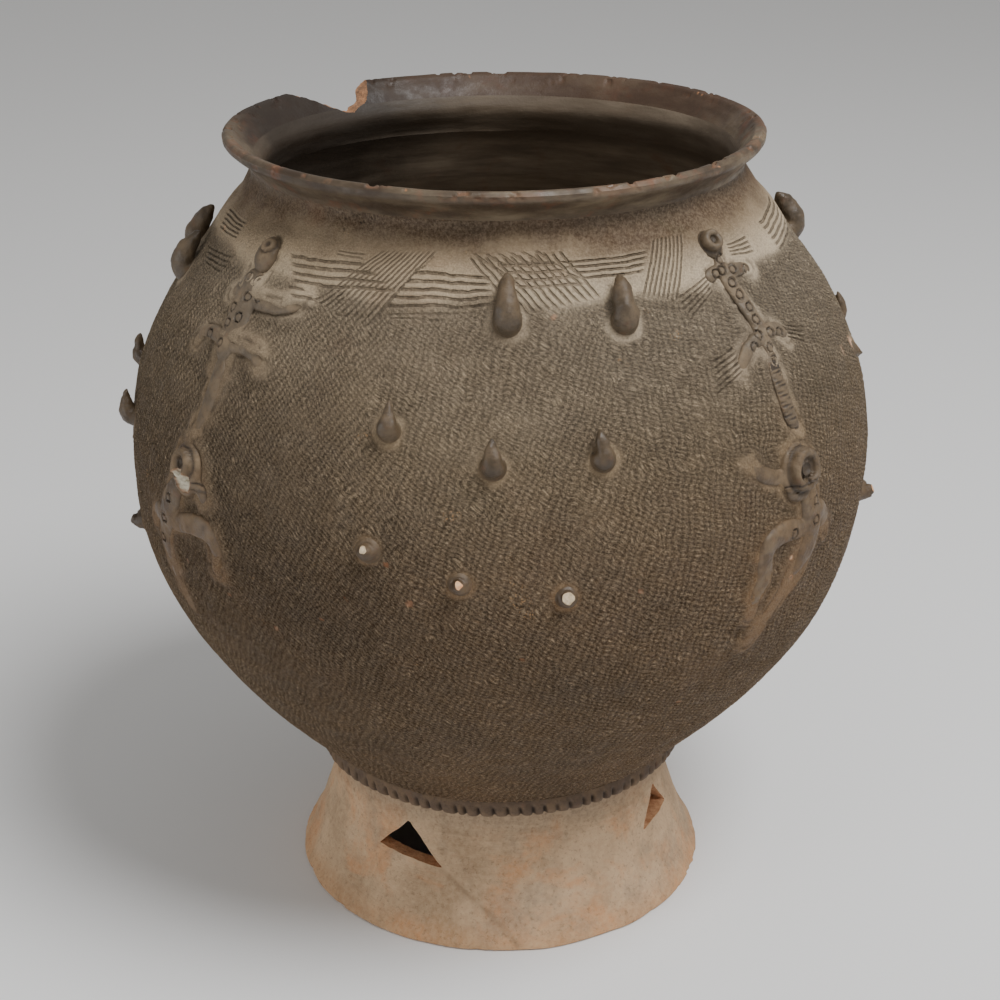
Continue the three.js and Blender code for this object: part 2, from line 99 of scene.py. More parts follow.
# Spikes of each panel, row by row from the top
PANELS = {
    "front": {
        "top": [[1.2, 381], [21.6, 379]],
        "middle": [[-15.8, 337], [-1, 324], [14.3, 325.5]],
        "low": [[-17.8, 282], [-5.3, 269], [8.8, 262]],
    },
    "right": {
        "top": [[101, 374], [119, 372]],
        "middle": [[82, 327], [101, 322], [116, 321]],
        "low": [[79.5, 246], [94, 256], [107, 262]],
    },
    "back": {
        "top": [[170, 381], [190, 380]],
        "middle": [[165, 329], [180, 325], [195, 327]],
        "low": [[163, 273], [176, 266], [190, 263]],
    },
    "left": {
        "top": [[-97, 369], [-82, 367]],
        "middle": [[-109, 318], [-94, 305], [-77, 294]],
        "low": [[-108, 264], [-94, 256], [-76, 234]],
    },
}

# Each kind of spike: steps of [out of the wall, up along it], its radius at each step, the smoothed patch
# round it and the mound it stands on
SPIKE_FORMS = {
    "top": dict(path=[[-4, 0], [3.4, 2], [6, 8.5], [6.4, 17], [6.2, 22.6]],
                radii=[9, 6.9, 5.6, 4.3, 2.5], patch=9.5, mound=1.3),
    "middle": dict(path=[[-4, 0], [2.6, 1.2], [4.8, 5.5], [5.3, 10.5], [5.2, 14]],
                   radii=[8.8, 5.3, 3.4, 2.3, 1.5], patch=8.0, mound=1.5),
    "low": dict(path=[[-4, 0], [2.2, 0.4], [4.6, 1.4], [6.9, 2.8]],
                radii=[8.8, 5.2, 3.3, 2.2], patch=7.0, mound=1.6),
    "scar": dict(path=[[-4, 0], [0.3, 0.1], [1.4, 0.4], [2.4, 0.7]],
                 radii=[8.2, 6.8, 5.6, 4.6], patch=7.5, mound=1.0),
}

# The climbing figures. Strips are points on the wall with half widths and heights from start to end.
SLIM_STRIP = ([4.6, 5.2, 5, 4.4], [2.8, 3, 2.9, 2.4])
BROAD_STRIP = ([8, 9, 8.2, 6], [3.2, 3.4, 3.2, 2.6])
CREATURE_STRIP = ([7, 8, 6.6, 5], [4.4, 4.8, 4.2, 3])
LEG_STRIP = ([4, 3.8, 3.6, 3.4], [2.8, 2.8, 2.4, 1.8])
CREATURE_LEG_STRIP = ([5.6, 6.2, 5.4, 4.2], [3.6, 4, 2.8, 1.2])
ARM_STRIP = ([4.6, 4.2, 3.4], [3.4, 2.8, 1.8])
TAIL_STRIP = ([4.4, 5, 3.6], [2.4, 2, 1.5])
LIZARD_RIGHT = dict(
    head=dict(at=[45.3, 403], width=6.8, length=7.8, height=4.6),
    eye=dict(at=[45, 403.4], radius=4.0, tube=1.5),
    spine=[[45.1, 398], [45.5, 388], [46.9, 378], [47.5, 369], [47.8, 361], [47.5, 352]],
    tail=[[47.6, 356], [47.1, 336], [47.4, 325], [48.2, 317]],
    legs=[
        [[46, 390], [43.5, 392], [40.8, 389.5]],
        [[46, 389.5], [50, 390], [53, 388.5]],
        [[47.8, 361], [44.3, 360], [41.5, 355.5], [40, 351.5]],
        [[47.6, 361.5], [51.2, 362.5], [53.6, 357.5]],
    ],
    stamps=[[45.6, 396], [44.6, 391.5], [47.4, 390.5], [45.8, 385.3], [46.4, 379.6], [47.3, 373.6],
            [47.4, 368.2], [46.2, 362.2], [49.2, 361.4], [47.8, 355.6], [47.7, 350.3], [51.5, 388.6],
            [43, 390.8], [51.6, 359.8], [44.2, 358]],
    ticks=[[47.4, 347], [46.8, 318]],
)
LIZARD_LEFT = dict(
    head=dict(at=[-49.8, 396], width=7.2, length=9.6, height=5),
    eye=dict(at=[-49.3, 399.6], radius=2.7, tube=0.95),
    spine=[[-50.1, 390], [-50.4, 379], [-50, 371], [-49.6, 363], [-49.2, 356], [-48.7, 349]],
    tail=[[-48.9, 352], [-48.4, 338], [-48.6, 327], [-49.6, 316]],
    legs=[
        [[-50.3, 381], [-53.2, 380], [-55.2, 376]],
        [[-50, 377.5], [-44.4, 376.5], [-40.3, 377.5], [-37.3, 380.5], [-36.3, 384.5]],
        [[-49.2, 356.5], [-44.7, 357.8], [-41.8, 357], [-40, 352.5]],
        [[-49.2, 357], [-53.8, 358.8], [-57.2, 357.5], [-58, 352.5]],
    ],
    stamps=[[-53.3, 381.8], [-51.4, 384.8], [-48.2, 384.8], [-49.2, 377], [-46.4, 378.2], [-51.6, 371],
            [-49, 368], [-51.1, 364.6], [-47, 360.4], [-50.6, 356.2], [-43.8, 360.6], [-54.6, 357.6]],
    ledges=[[[-50, 379], [-44.4, 376.5], [-40.3, 377.5], [-37.3, 380.5]],
            [[-49.2, 358], [-44.7, 357.8], [-41.8, 357]]],
)
CREATURE_RIGHT = dict(
    head=dict(at=[46.4, 299.5], width=14, length=15, height=6.5),
    eye=dict(at=[46.6, 301], radius=8.4, tube=2.1),
    arm=[[45, 299], [41, 301.5], [38.2, 307], [37, 313]],
    spine=[[48.2, 292], [49.1, 276], [49.3, 264], [47.6, 253.4], [45.6, 244]],
    tail=[[46, 247], [42.4, 231], [39, 214]],
    legs=[
        [[49, 268], [43.7, 271.5], [40.2, 269.5], [39.2, 261], [39, 249], [38, 239], [38, 231]],
        [[48.8, 277], [52, 272], [54.2, 261]],
    ],
    stamps=[[46.4, 296.6], [49.6, 282], [49.4, 272], [44.6, 269.8]],
)
CREATURE_LEFT = dict(
    head=dict(at=[-50, 297], width=11.5, length=14, height=6),
    eye=dict(at=[-50.1, 300], radius=6, tube=1.7),
    arm=[[-49.3, 294], [-46.6, 289], [-45.8, 283]],
    spine=[[-51.4, 289], [-53.2, 281], [-55, 268], [-56.6, 252], [-56, 240]],
    tail=[[-56.2, 243], [-55.2, 231], [-53.5, 219]],
    legs=[
        [[-54.6, 263], [-50.4, 268.5], [-47.2, 270.4], [-44.5, 268.4], [-43.3, 261], [-43.5, 251]],
        [[-55, 266], [-58.4, 265], [-60, 257]],
    ],
    stamps=[[-53.6, 279], [-55.2, 266], [-56.4, 254]],
    break_at=[-49.6, 292],
)
FIGURES = [
    ("front_right", LIZARD_RIGHT, CREATURE_RIGHT, 0),
    ("front_left", LIZARD_LEFT, CREATURE_LEFT, 0),
    ("back_left", LIZARD_RIGHT, CREATURE_RIGHT, -180),
    ("back_right", LIZARD_LEFT, CREATURE_LEFT, 180),
]

# Combed and scratched lines: first line from and to, last line from and to, how many, depth and half width
COMBING = [
    ([-43.8, 398.8], [-26.3, 401.6], [-40.9, 389.7], [-18.9, 392.6], 4, 0.75, 0.75),
    ([-41, 386.5], [-37, 386.8], [-39, 383.4], [-34, 383.8], 2, 0.5, 0.6),
    ([-33.2, 403.7], [-27.1, 403.8], [-33, 405], [-27, 405.4], 2, 0.35, 0.5),
    ([-34.3, 382.8], [-23.3, 407.8], [-23.4, 376.9], [-12.9, 409.6], 11, 0.5, 0.45),
    ([-16.5, 401], [-2, 400], [-20.6, 386.4], [-1.2, 388.8], 5, 0.8, 0.75),
    ([-30, 392], [-18, 393], [-30, 380], [-20, 382], 4, 0.35, 0.6),
    ([-19.8, 383.1], [-6.4, 385.4], [-19, 381.6], [-9, 382.4], 2, 0.35, 0.6),
    ([-5.8, 407.5], [3.5, 384.9], [11.8, 409], [17.9, 390.6], 12, 0.5, 0.45),
    ([-5, 409], [5, 396], [7, 410], [15, 398], 6, 0.3, 0.4),
    ([11.8, 404.9], [30, 405.3], [15.3, 398.5], [27.6, 398.4], 4, 0.7, 0.65),
    ([-0.7, 404.4], [11.7, 404.3], [2.9, 396.2], [15.3, 396.2], 4, 0.35, 0.5),
    ([32.4, 409.6], [26.4, 388.8], [39.7, 409.7], [32.8, 383.9], 8, 0.55, 0.5),
    ([33.5, 385.3], [40.9, 390.8], [34.6, 376.3], [41.2, 384.9], 5, 0.6, 0.5),
    ([35.3, 357.9], [40.5, 361.1], [34.2, 344.5], [39.9, 351], 6, 0.6, 0.5),
    ([54.9, 361.3], [60.8, 356.4], [53.9, 356.9], [58.5, 351.5], 4, 0.6, 0.5),
    ([50.2, 400.8], [57.6, 400.4], [49.8, 396.4], [57.7, 393.9], 4, 0.55, 0.5),
    ([-77.5, 383.4], [-61.6, 388.9], [-72.8, 378.6], [-62.5, 381.1], 4, 0.7, 0.7),
    ([-77, 394], [-63.5, 396.8], [-78.1, 402.5], [-63.8, 403.4], 5, 0.6, 0.6),
    ([66, 402], [86, 404], [68, 388], [86, 390], 6, 0.7, 0.7),
    ([86, 384], [97, 408], [100, 382], [110, 409], 11, 0.5, 0.45),
    ([110, 404], [124, 402], [111, 389], [124, 388], 5, 0.7, 0.7),
    ([146, 402], [164, 404], [147, 388], [166, 389], 5, 0.75, 0.7),
    ([164, 408], [172, 386], [180, 409], [187, 388], 12, 0.5, 0.45),
    ([187, 405], [204, 403], [188, 391], [205, 390], 5, 0.7, 0.7),
    ([206, 408], [201, 386], [214, 408], [209, 384], 7, 0.55, 0.5),
    ([-121, 402], [-104, 404], [-120, 388], [-103, 391], 5, 0.7, 0.7),
    ([-103, 385], [-92, 408], [-91, 384], [-82, 408], 9, 0.5, 0.45),
]

# Bare flecks where the skin has flaked off: place, size in mm, and how pale the clay under it is
FLECKS = [
    ([-12.1, 256.3], 2.6, 0.2), ([-33.9, 226.2], 1.8, 0.3), ([-42.2, 237.2], 1.5, 0.3), ([3, 227.6], 2, 0.2),
    ([9.2, 383.9], 1.8, 0.4), ([48.4, 271.8], 2, 0.8), ([44.9, 256], 1.8, 0.5), ([45.5, 244.6], 1.7, 0.3),
    ([-25.6, 239.8], 1.4, 0.1), ([-51.4, 245.7], 1.4, 0.5), ([19.1, 261], 1.2, 0.3),
    ([42.6, 360.8], 1.4, 0.8),
    ([-15.4, 276.1], 1.2, 0.1), ([72, 335], 4.2, 0.5), ([80, 331], 5.5, 0.4), ([-21.4, 254.1], 1.5, 0.1),
    ([-73, 396], 2.6, 0.4), ([98, 300], 2, 0.3), ([131, 262], 2.4, 0.2), ([158, 240], 2, 0.4),
    ([202, 300], 2.2, 0.3), ([-98, 240], 2, 0.3), ([-128, 300], 2.2, 0.3), ([30, 180], 1.6, 0.2),
]

CRACK = [[-18.8, 41], [-11.5, 31.1], [-2.9, 18.9], [5.5, 3.3]]

# Strips of the wall rolled in one go: the middle of each, the lean of its columns and the tilt of its rows
ROLLED = [(-150, 0.3, 0.6), (-112, 0.2, 0.5), (-72, 0.35, 0.8), (-34, 0.5, 0.9), (2, 0.32, 0.6),
          (38, 0.15, 0.4), (74, 0.25, 0.5), (112, 0.3, 0.6), (150, 0.2, 0.5), (178, 0.3, 0.6)]
BEAD_ACROSS = 3.8
BEAD_UP = 2.6
BEAD_SLANT = 0.35
BEAD_DEPTH = 0.75

# How far the wall stands out round the figures and above the arms of the left lizard, in mm
CREATURE_MOUND = 1.9
LIZARD_MOUND = 0.9
LEDGE_HEIGHT = 2.2

# Rounded corners of the windows: where the rounding starts along the sides, and how far in it goes, in mm
CORNER_START = 1.1
CORNER_IN = 0.54

# Middle of the soot inside the mouth, in metres
SOOT_PLACE = (-0.1, 0.07, 0.41)

# Waves of the beaten wall: how far out or in, times round the pot, height over which they wind, and start
HAND_WAVES = [(0.45, 3, 43, 0.4), (0.4, 5, -31, 2.1), (0.3, 8, 23, 4), (0.25, 13, -17, 1)]


# Shapes on the wall's outline

def outline(station, lift=0.0):
    """[radius, height] on the outline at stations, and the direction out of it."""
    station = np.asarray(station, float)
    last = len(BODY_OUTLINE) - 1
    first = np.clip(np.floor(station), 0, last - 1).astype(int)
    t = (station - first)[..., None]
    a = BODY_OUTLINE[np.maximum(first - 1, 0)]
    b = BODY_OUTLINE[first]
    c = BODY_OUTLINE[np.minimum(first + 1, last)]
    d = BODY_OUTLINE[np.minimum(first + 2, last)]
    leave, arrive = (c - a) / 2, (d - b) / 2
    place = (2 * b - 2 * c + leave + arrive) * t ** 3 + (-3 * b + 3 * c - 2 * leave - arrive) * t ** 2
    place = place + leave * t + b
    along = (3 * (2 * b - 2 * c + leave + arrive) * t ** 2
             + 2 * (-3 * b + 3 * c - 2 * leave - arrive) * t + leave)
    along = along / np.linalg.norm(along, axis=-1, keepdims=True)
    out = np.stack([along[..., 1], -along[..., 0]], -1)
    return place + out * np.asarray(lift)[..., None], out


def wall_thickness(station):
    return WALL - NECK_THINNING * np.maximum(0, np.asarray(station, float) - THINNING_START)


STATIONS = np.linspace(0, 14, 2801)
OUTLINE_TABLE, OUTLINE_OUT = outline(STATIONS)
OUTLINE_LENGTH = np.concatenate(
    [[0], np.cumsum(np.linalg.norm(np.diff(OUTLINE_TABLE, axis=0), axis=1))])


def up_the_wall(height):
    """Length along the outline at a height."""
    return np.interp(height, OUTLINE_TABLE[:, 1], OUTLINE_LENGTH)


def smooth_step(value, low, high):
    t = np.clip((value - low) / (high - low), 0, 1)
    return t * t * (3 - 2 * t)


def hand_wave(azimuth, height):
    """How far the beaten wall stands out from its even outline, in mm."""
    turn = np.radians(azimuth)
    waves = sum(far * np.sin(times * turn + height / winding + start)
                for far, times, winding, start in HAND_WAVES)
    return waves * smooth_step(height, 92, 125) * (1 - smooth_step(height, 390, 410))


def turn_between(azimuth, other):
    """The smallest turn from one azimuth to the other, in degrees."""
    return (azimuth - other + 180) % 360 - 180


def out_of_round(points):
    """The rim isn't a true circle: it was pushed out of round as the pot was lifted and dried."""
    share = smooth_step(points[:, 2], RIM_START, RIM_HEIGHT)
    turn = np.arctan2(points[:, 0], -points[:, 1])
    wave = -0.0151 * np.sin(2 * turn) + 0.011 * np.cos(3 * turn) + 0.0039 * np.sin(3 * turn)
    moved = points.copy()
    moved[:, 0] = points[:, 0] * (1 + share * wave) + share * RIM_SHIFT
    moved[:, 1] = points[:, 1] * (1 + share * wave)
    return moved


RANDOM_TABLE = np.random.default_rng(41).uniform(-1, 1, 65536)


def lumps(points, size, seed):
    """Smooth random values from -1 to 1 over points, for lumps of that size in millimetres."""
    place = points / size + np.array([17.3, 31.7, 5.9]) * seed
    cell = np.floor(place).astype(np.int64)
    part = place - cell
    part = part ** 3 * (part * (part * 6 - 15) + 10)
    total = np.zeros(len(points))
    for dx in (0, 1):
        for dy in (0, 1):
            for dz in (0, 1):
                spot = ((cell[:, 0] + dx) * 73856093) ^ ((cell[:, 1] + dy) * 19349663)
                spot = spot ^ ((cell[:, 2] + dz) * 83492791) ^ (seed * 2654435)
                weight = np.where(dx, part[:, 0], 1 - part[:, 0])
                weight = weight * np.where(dy, part[:, 1], 1 - part[:, 1])
                weight = weight * np.where(dz, part[:, 2], 1 - part[:, 2])
                total += weight * RANDOM_TABLE[spot & 65535]
    return total


def to_path(azimuth, up, radius, path):
    """How far places on the wall are from a path, and the share of the path that is nearest."""
    best = np.full(len(azimuth), 1e9)
    share = np.zeros(len(azimuth))
    heights = up_the_wall(np.array([p[1] for p in path]))
    for i in range(len(path) - 1):
        ax = np.radians(turn_between(azimuth, path[i][0])) * radius
        ay = up - heights[i]
        bx = np.radians(turn_between(path[i + 1][0], path[i][0])) * radius
        by = heights[i + 1] - heights[i]
        t = np.clip((ax * bx + ay * by) / (bx * bx + by * by + 1e-9), 0, 1)
        gap = np.hypot(ax - t * bx, ay - t * by)
        closer = gap < best
        best = np.where(closer, gap, best)
        share = np.where(closer, (i + t) / (len(path) - 1), share)
    return best, share


def along(values, share):
    return np.interp(share, np.linspace(0, 1, len(values)), values)


# The face of the wall: where it is rolled, combed, smoothed and mounded

def rolled_place(azimuth, up, radius, warp, strip):
    """Bead coordinates of places on the wall within a rolled strip."""
    middle, lean, tilt = (np.array([s[k] for s in ROLLED])[strip] for k in range(3))
    across = np.radians(turn_between(azimuth, middle)) * radius
    u = (across - lean * (up - 250)) / BEAD_ACROSS + warp[0] + strip * 7.37
    v = (up + tilt * across) / BEAD_UP + warp[1] + strip * 3.11
    return u, v


def rolled_strip(azimuth, up):
    """Which rolled strip a place is in."""
    sway = 3.2 * np.sin(up / 31.0) + 1.4 * np.sin(up / 9.0)
    gaps = np.abs(np.stack([turn_between(azimuth + sway, s[0]) for s in ROLLED], 1))
    return np.argmin(gaps, 1)


def bead(u, v):
    """Height of the rolled print from 0, in the pits, to 1, on the beads."""
    a, b = 2 * math.pi * u, 2 * math.pi * v
    wave = np.cos(a) + np.cos(b) + BEAD_SLANT * np.cos(a + b)
    return smooth_step(wave, -1.5, 1.4)


def bead_warp(points):
    """How far the beads stray from even rows."""
    wide = 1.0 * lumps(points, 38, 21), 1.2 * lumps(points, 38, 22)
    small = 0.5 * lumps(points, 8, 23), 0.62 * lumps(points, 8, 24)
    tiny = 0.26 * lumps(points, 3.4, 25), 0.34 * lumps(points, 3.4, 26)
    return wide[0] + small[0] + tiny[0], wide[1] + small[1] + tiny[1]


def all_spikes():
    for panel, rows in PANELS.items():
        for row, places in rows.items():
            for number, place in enumerate(places, 1):
                yield f"spike_{panel}_{row}_{number}", row, place


def comb_place(azimuth, up, radius, corners, lines):
    """The line of a comb stroke at a place, counted from its first line, and the share along it."""
    middle = np.mean([corner[0] for corner in corners])
    scale = np.radians(1) * radius.mean()
    at = np.stack([turn_between(azimuth, middle) * scale, up], 1)
    a, b, c, d = (np.array([turn_between(corner[0], middle) * scale, up_the_wall(corner[1])])
                  for corner in corners)
    twist = d - c - b + a
    across, along_line = np.full(len(at), 0.5), np.full(len(at), 0.5)
    for _ in range(4):
        miss = a + along_line[:, None] * (b - a) + across[:, None] * (c - a)
        miss = miss + (along_line * across)[:, None] * twist - at
        one, other = (b - a) + across[:, None] * twist, (c - a) + along_line[:, None] * twist
        area = one[:, 0] * other[:, 1] - one[:, 1] * other[:, 0]
        area = np.where(np.abs(area) < 1, 1, area)
        along_line = along_line - (miss[:, 0] * other[:, 1] - miss[:, 1] * other[:, 0]) / area
        across = across - (one[:, 0] * miss[:, 1] - one[:, 1] * miss[:, 0]) / area
        across, along_line = np.clip(across, -2, 3), np.clip(along_line, -2, 3)
    return across * (lines - 1), along_line


def spine_strip(figure):
    return {id(LIZARD_LEFT): BROAD_STRIP, id(LIZARD_RIGHT): SLIM_STRIP}.get(id(figure), CREATURE_STRIP)


def figure_paths(figure):
    """The paths of a figure with the half width at their middles."""
    paths = [(figure["spine"], spine_strip(figure)[0][1]), (figure["tail"], 4.4)]
    paths += [(leg, 3.8) for leg in figure["legs"]]
    if "arm" in figure:
        paths.append((figure["arm"], 3.8))
    return paths


def turned(path, turn):
    return [[azimuth + turn, height] for azimuth, height in path]


def wall_face(points, azimuth, up, radius):
    """Relief of the outside of the wall in mm, and its marks from 0 to 1."""
    height = points[:, 2]
    relief = hand_wave(azimuth, height) + 0.3 * lumps(points, 60, 1) + 0.35 * lumps(points, 27, 2)
    relief += 0.16 * lumps(points, 11, 3) + 0.07 * lumps(points, 4, 4)
    combs = [(np.full(len(points), -3.0), np.zeros(len(points))) for _ in range(2)]
    printed = 1 - smooth_step(height + 3.5 * lumps(points, 24, 5), 383, 392)
    printed *= 1 - 0.25 * smooth_step(lumps(points, 31, 6) + 0.5 * lumps(points, 8, 7), 0.3, 0.9)
    dust = np.zeros(len(points))
    groove_and_shade = np.zeros(len(points))
    bare = np.zeros(len(points))
    pale = np.zeros(len(points))
    wear = smooth_step(lumps(points, 7, 14) + 0.5 * lumps(points, 2.6, 15), -0.5, 0.7)
    for _, row, (at, z) in all_spikes():
        form = SPIKE_FORMS[row]
        near = np.abs(turn_between(azimuth, at)) < 12
        side = np.radians(turn_between(azimuth[near], at)) * radius[near]
        rise = up[near] - up_the_wall(z)
        gap = np.hypot(side, rise) + 1.4 * lumps(points[near], 6, 8)
        patch = form["patch"]
        printed[near] *= smooth_step(gap, patch * 0.85, patch * 1.35)
        relief[near] += form["mound"] * np.exp(-(gap / patch / 0.85) ** 2)
        halo = np.exp(-((gap - patch * 1.05) / (patch * 0.4)) ** 2) * wear[near]
        dust[near] = np.maximum(dust[near], halo * (0.3 if row == "top" else 0.15))
    for _, lizard, creature, turn in FIGURES:
        for figure in (lizard, creature):
            middle = figure["head"]["at"][0] + turn
            near = np.abs(turn_between(azimuth, middle)) < 20
            here = points[near]
            strayed = 1.3 * lumps(here, 7, 9)
            gap = np.full(len(here), 1e9)
            for path, half in figure_paths(figure):
                off, _ = to_path(azimuth[near], up[near], radius[near], turned(path, turn))
                gap = np.minimum(gap, off - half)
            head = figure["head"]
            side = np.radians(turn_between(azimuth[near], middle)) * radius[near]
            off = np.hypot(side / head["width"], (up[near] - up_the_wall(head["at"][1])) / head["length"])
            gap = np.minimum(gap, (off - 1) * head["width"])
            printed[near] *= smooth_step(gap + 2 * strayed, -0.5, 6.5)
            mound = CREATURE_MOUND if "break_at" in figure or head["width"] > 8 else LIZARD_MOUND
            relief[near] += mound * (1 - smooth_step(gap + strayed, 0.5, 8))
            for ledge in figure.get("ledges", []):
                path = turned(ledge, turn)
                off, share = to_path(azimuth[near], up[near], radius[near], path)
                level = up_the_wall(along([place[1] for place in path], share))
                beside = 1 - smooth_step(off + strayed, 4, 15)
                shelf = smooth_step(up[near] - level + strayed, -1.5, 1) * beside
                relief[near] += LEDGE_HEIGHT * shelf
                printed[near] *= 1 - smooth_step(shelf + 0.15 * strayed, 0.1, 0.9)
            # A seam round each figure: a shallow groove, also painted dark as painted shade where figure
            # meets wall.
            seam = np.exp(-((gap - 0.2) / 0.9) ** 2) * smooth_step(wear[near], 0.0, 0.5)
            relief[near] -= 0.7 * seam
            groove_and_shade[near] = np.maximum(groove_and_shade[near], 0.75 * seam)
            halo = np.exp(-((gap + strayed - 2.6) / 2.4) ** 2) * wear[near]
            dust[near] = np.maximum(dust[near], halo * 0.2)
    for number, (a, b, c, d, lines, deep, half) in enumerate(COMBING):
        low = min(a[0], b[0], c[0], d[0]) - 2
        high = max(a[0], b[0], c[0], d[0]) + 2
        beside = turn_between(azimuth, (low + high) / 2) ** 2 < ((high - low) / 2) ** 2
        near = np.flatnonzero((height > 335) & beside)
        if not len(near):
            continue
        here = points[near]
        line_at, share = comb_place(azimuth[near], up[near], radius[near], (a, b, c, d), lines)
        line_at = line_at + 0.2 * lumps(here, 12, 35) + 0.07 * lumps(here, 4, 36)
        part = smooth_step(line_at, -0.8, -0.35) * (1 - smooth_step(line_at, lines - 0.65, lines - 0.2))
        part *= smooth_step(share, -0.03, 0.05) * (1 - smooth_step(share, 0.92, 1.03)) * min(1, 0.4 + deep)
        kept_lines, kept_part = combs[1 if (combs[0][1][near] * part).max() > 0.02 else 0]
        reach = (line_at > -2) & (line_at < lines + 1) & (share > -0.25) & (share < 1.25)
        reach &= kept_part[near] <= part
        kept_lines[near[reach]] = line_at[reach]
        kept_part[near[reach]] = part[reach]
        broken = 0.8 + 0.3 * lumps(here, 3.5, 30 + number)
        cut = smooth_step(np.cos(2 * math.pi * line_at), -0.1, 0.9) * part * broken
        relief[near] += deep * (0.25 * part - 1.1 * cut)
    for (at, z), size, paleness in FLECKS:
        near = np.flatnonzero((np.abs(turn_between(azimuth, at)) < 4) & (np.abs(height - z) < 14))
        if not len(near):
            continue
        side = np.radians(turn_between(azimuth[near], at)) * radius[near]
        gap = np.hypot(side, up[near] - up_the_wall(z)) + 0.9 * lumps(points[near], 2.2, 10)
        mark = 1 - smooth_step(gap, size * 0.45, size * 0.75)
        relief[near] -= 0.35 * mark
        bare[near] = np.maximum(bare[near], mark)
        pale[near] = np.where(mark > 0, paleness, pale[near])
    strip = rolled_strip(azimuth, up)
    u, v = rolled_place(azimuth, up, radius, bead_warp(points), strip)
    relief += BEAD_DEPTH * printed * (bead(u, v) - 0.65) * (0.9 + 0.4 * lumps(points, 5.2, 27))
    (line, part), (line_2, part_2) = combs
    return relief, dict(printed=printed, dust=dust, groove_and_shade=groove_and_shade, bare=bare, pale=pale,
                        comb_line=line, comb_part=part, comb_line_2=line_2, comb_part_2=part_2)


# Making of pieces

def start_piece():
    if bpy.context.object and bpy.context.object.mode != "OBJECT":
        bpy.ops.object.mode_set(mode="OBJECT")
    bpy.ops.object.select_all(action="DESELECT")


def only(piece):
    bpy.ops.object.select_all(action="DESELECT")
    piece.select_set(True)
    bpy.context.view_layer.objects.active = piece


def apply(piece, kind, **settings):
    """Adds a modifier to a piece and applies it."""
    only(piece)
    modifier = piece.modifiers.new(kind.lower(), kind)
    for key, value in settings.items():
        setattr(modifier, key, value)
    bpy.ops.object.modifier_apply(modifier=modifier.name)


def points_of(piece):
    flat = np.empty(len(piece.data.vertices) * 3)
    piece.data.vertices.foreach_get("co", flat)
    return flat.reshape(-1, 3) / MM


def move_points(piece, points):
    piece.data.vertices.foreach_set("co", (points * MM).ravel())
    piece.data.update()


def mark(piece, name, values):
    """Keeps a value at each point of a piece, for its finish to read."""
    layer = piece.data.attributes.get(name) or piece.data.attributes.new(name, "FLOAT", "POINT")
    layer.data.foreach_set("value", np.asarray(values, np.float32))


def marks_of(piece, name):
    values = np.empty(len(piece.data.vertices), np.float32)
    piece.data.attributes[name].data.foreach_get("value", values)
    return values


def normals_of(piece):
    flat = np.empty(len(piece.data.vertices) * 3)
    piece.data.vertices.foreach_get("normal", flat)
    return flat.reshape(-1, 3)


def holds(piece):
    """The volume that a piece's faces close round, below zero if they point inwards."""
    piece.update_from_editmode()
    mesh = piece.data
    centre = np.empty(len(mesh.polygons) * 3)
    normal = np.empty(len(mesh.polygons) * 3)
    area = np.empty(len(mesh.polygons))
    mesh.polygons.foreach_get("center", centre)
    mesh.polygons.foreach_get("normal", normal)
    mesh.polygons.foreach_get("area", area)
    return float((centre * normal).reshape(-1, 3).sum(1) @ area) / 3


def spun_skin(name, loop, columns=COLUMNS):
    """A skin of revolution: a closed outline is drawn at the front and turned about the pot's axis."""
    start_piece()
    bpy.ops.mesh.primitive_circle_add(vertices=len(loop), radius=0.1, fill_type="NOTHING")
    skin = bpy.context.object
    skin.name = skin.data.name = name
    move_points(skin, np.array([[0, -radius, height] for radius, height in loop]))
    mark(skin, "row", np.arange(len(loop)))
    apply(skin, "SCREW", angle=2 * math.pi, steps=columns, render_steps=columns, use_merge_vertices=True,
          merge_threshold=2e-6)
    only(skin)
    bpy.ops.object.mode_set(mode="EDIT")
    bpy.ops.mesh.select_all(action="SELECT")
    bpy.ops.mesh.remove_doubles(threshold=2e-6)
    bpy.ops.mesh.delete_loose()
    if holds(skin) < 0:
        bpy.ops.mesh.select_all(action="SELECT")
        bpy.ops.mesh.flip_normals()
    bpy.ops.object.mode_set(mode="OBJECT")
    return skin


def between(start, end, row):
    """Points from start to end, no further apart than a row, without the last one."""
    start, end = np.asarray(start, float), np.asarray(end, float)
    steps = max(1, math.ceil(np.linalg.norm(end - start) / row))
    return [start + (end - start) * i / steps for i in range(steps)]


def smooth_line(points, row):
    """A smooth line through points, in steps of about a row, with its last point."""
    points = np.asarray(points, float)
    first = 2 * points[0] - points[1]
    last = 2 * points[-1] - points[-2]
    knots = np.vstack([first, points, last])
    line = []
    for i in range(1, len(knots) - 2):
        a, b, c, d = knots[i - 1:i + 3]
        steps = max(1, math.ceil(np.linalg.norm(c - b) / row))
        for t in np.arange(steps) / steps:
            line.append(0.5 * (2 * b + (c - a) * t + (2 * a - 5 * b + 4 * c - d) * t ** 2
                               + (-a + 3 * b - 3 * c + d) * t ** 3))
    line.append(points[-1])
    return line


def wall_stations(low, high, row):
    """Stations from low to high about a row apart, both ends kept."""
    a, b = np.interp([low, high], STATIONS, OUTLINE_LENGTH)
    steps = max(1, math.ceil((b - a) / row))
    return np.interp(np.linspace(a, b, steps + 1), OUTLINE_LENGTH, STATIONS)


OUTER, JOINT, INNER = 0, 1, 2


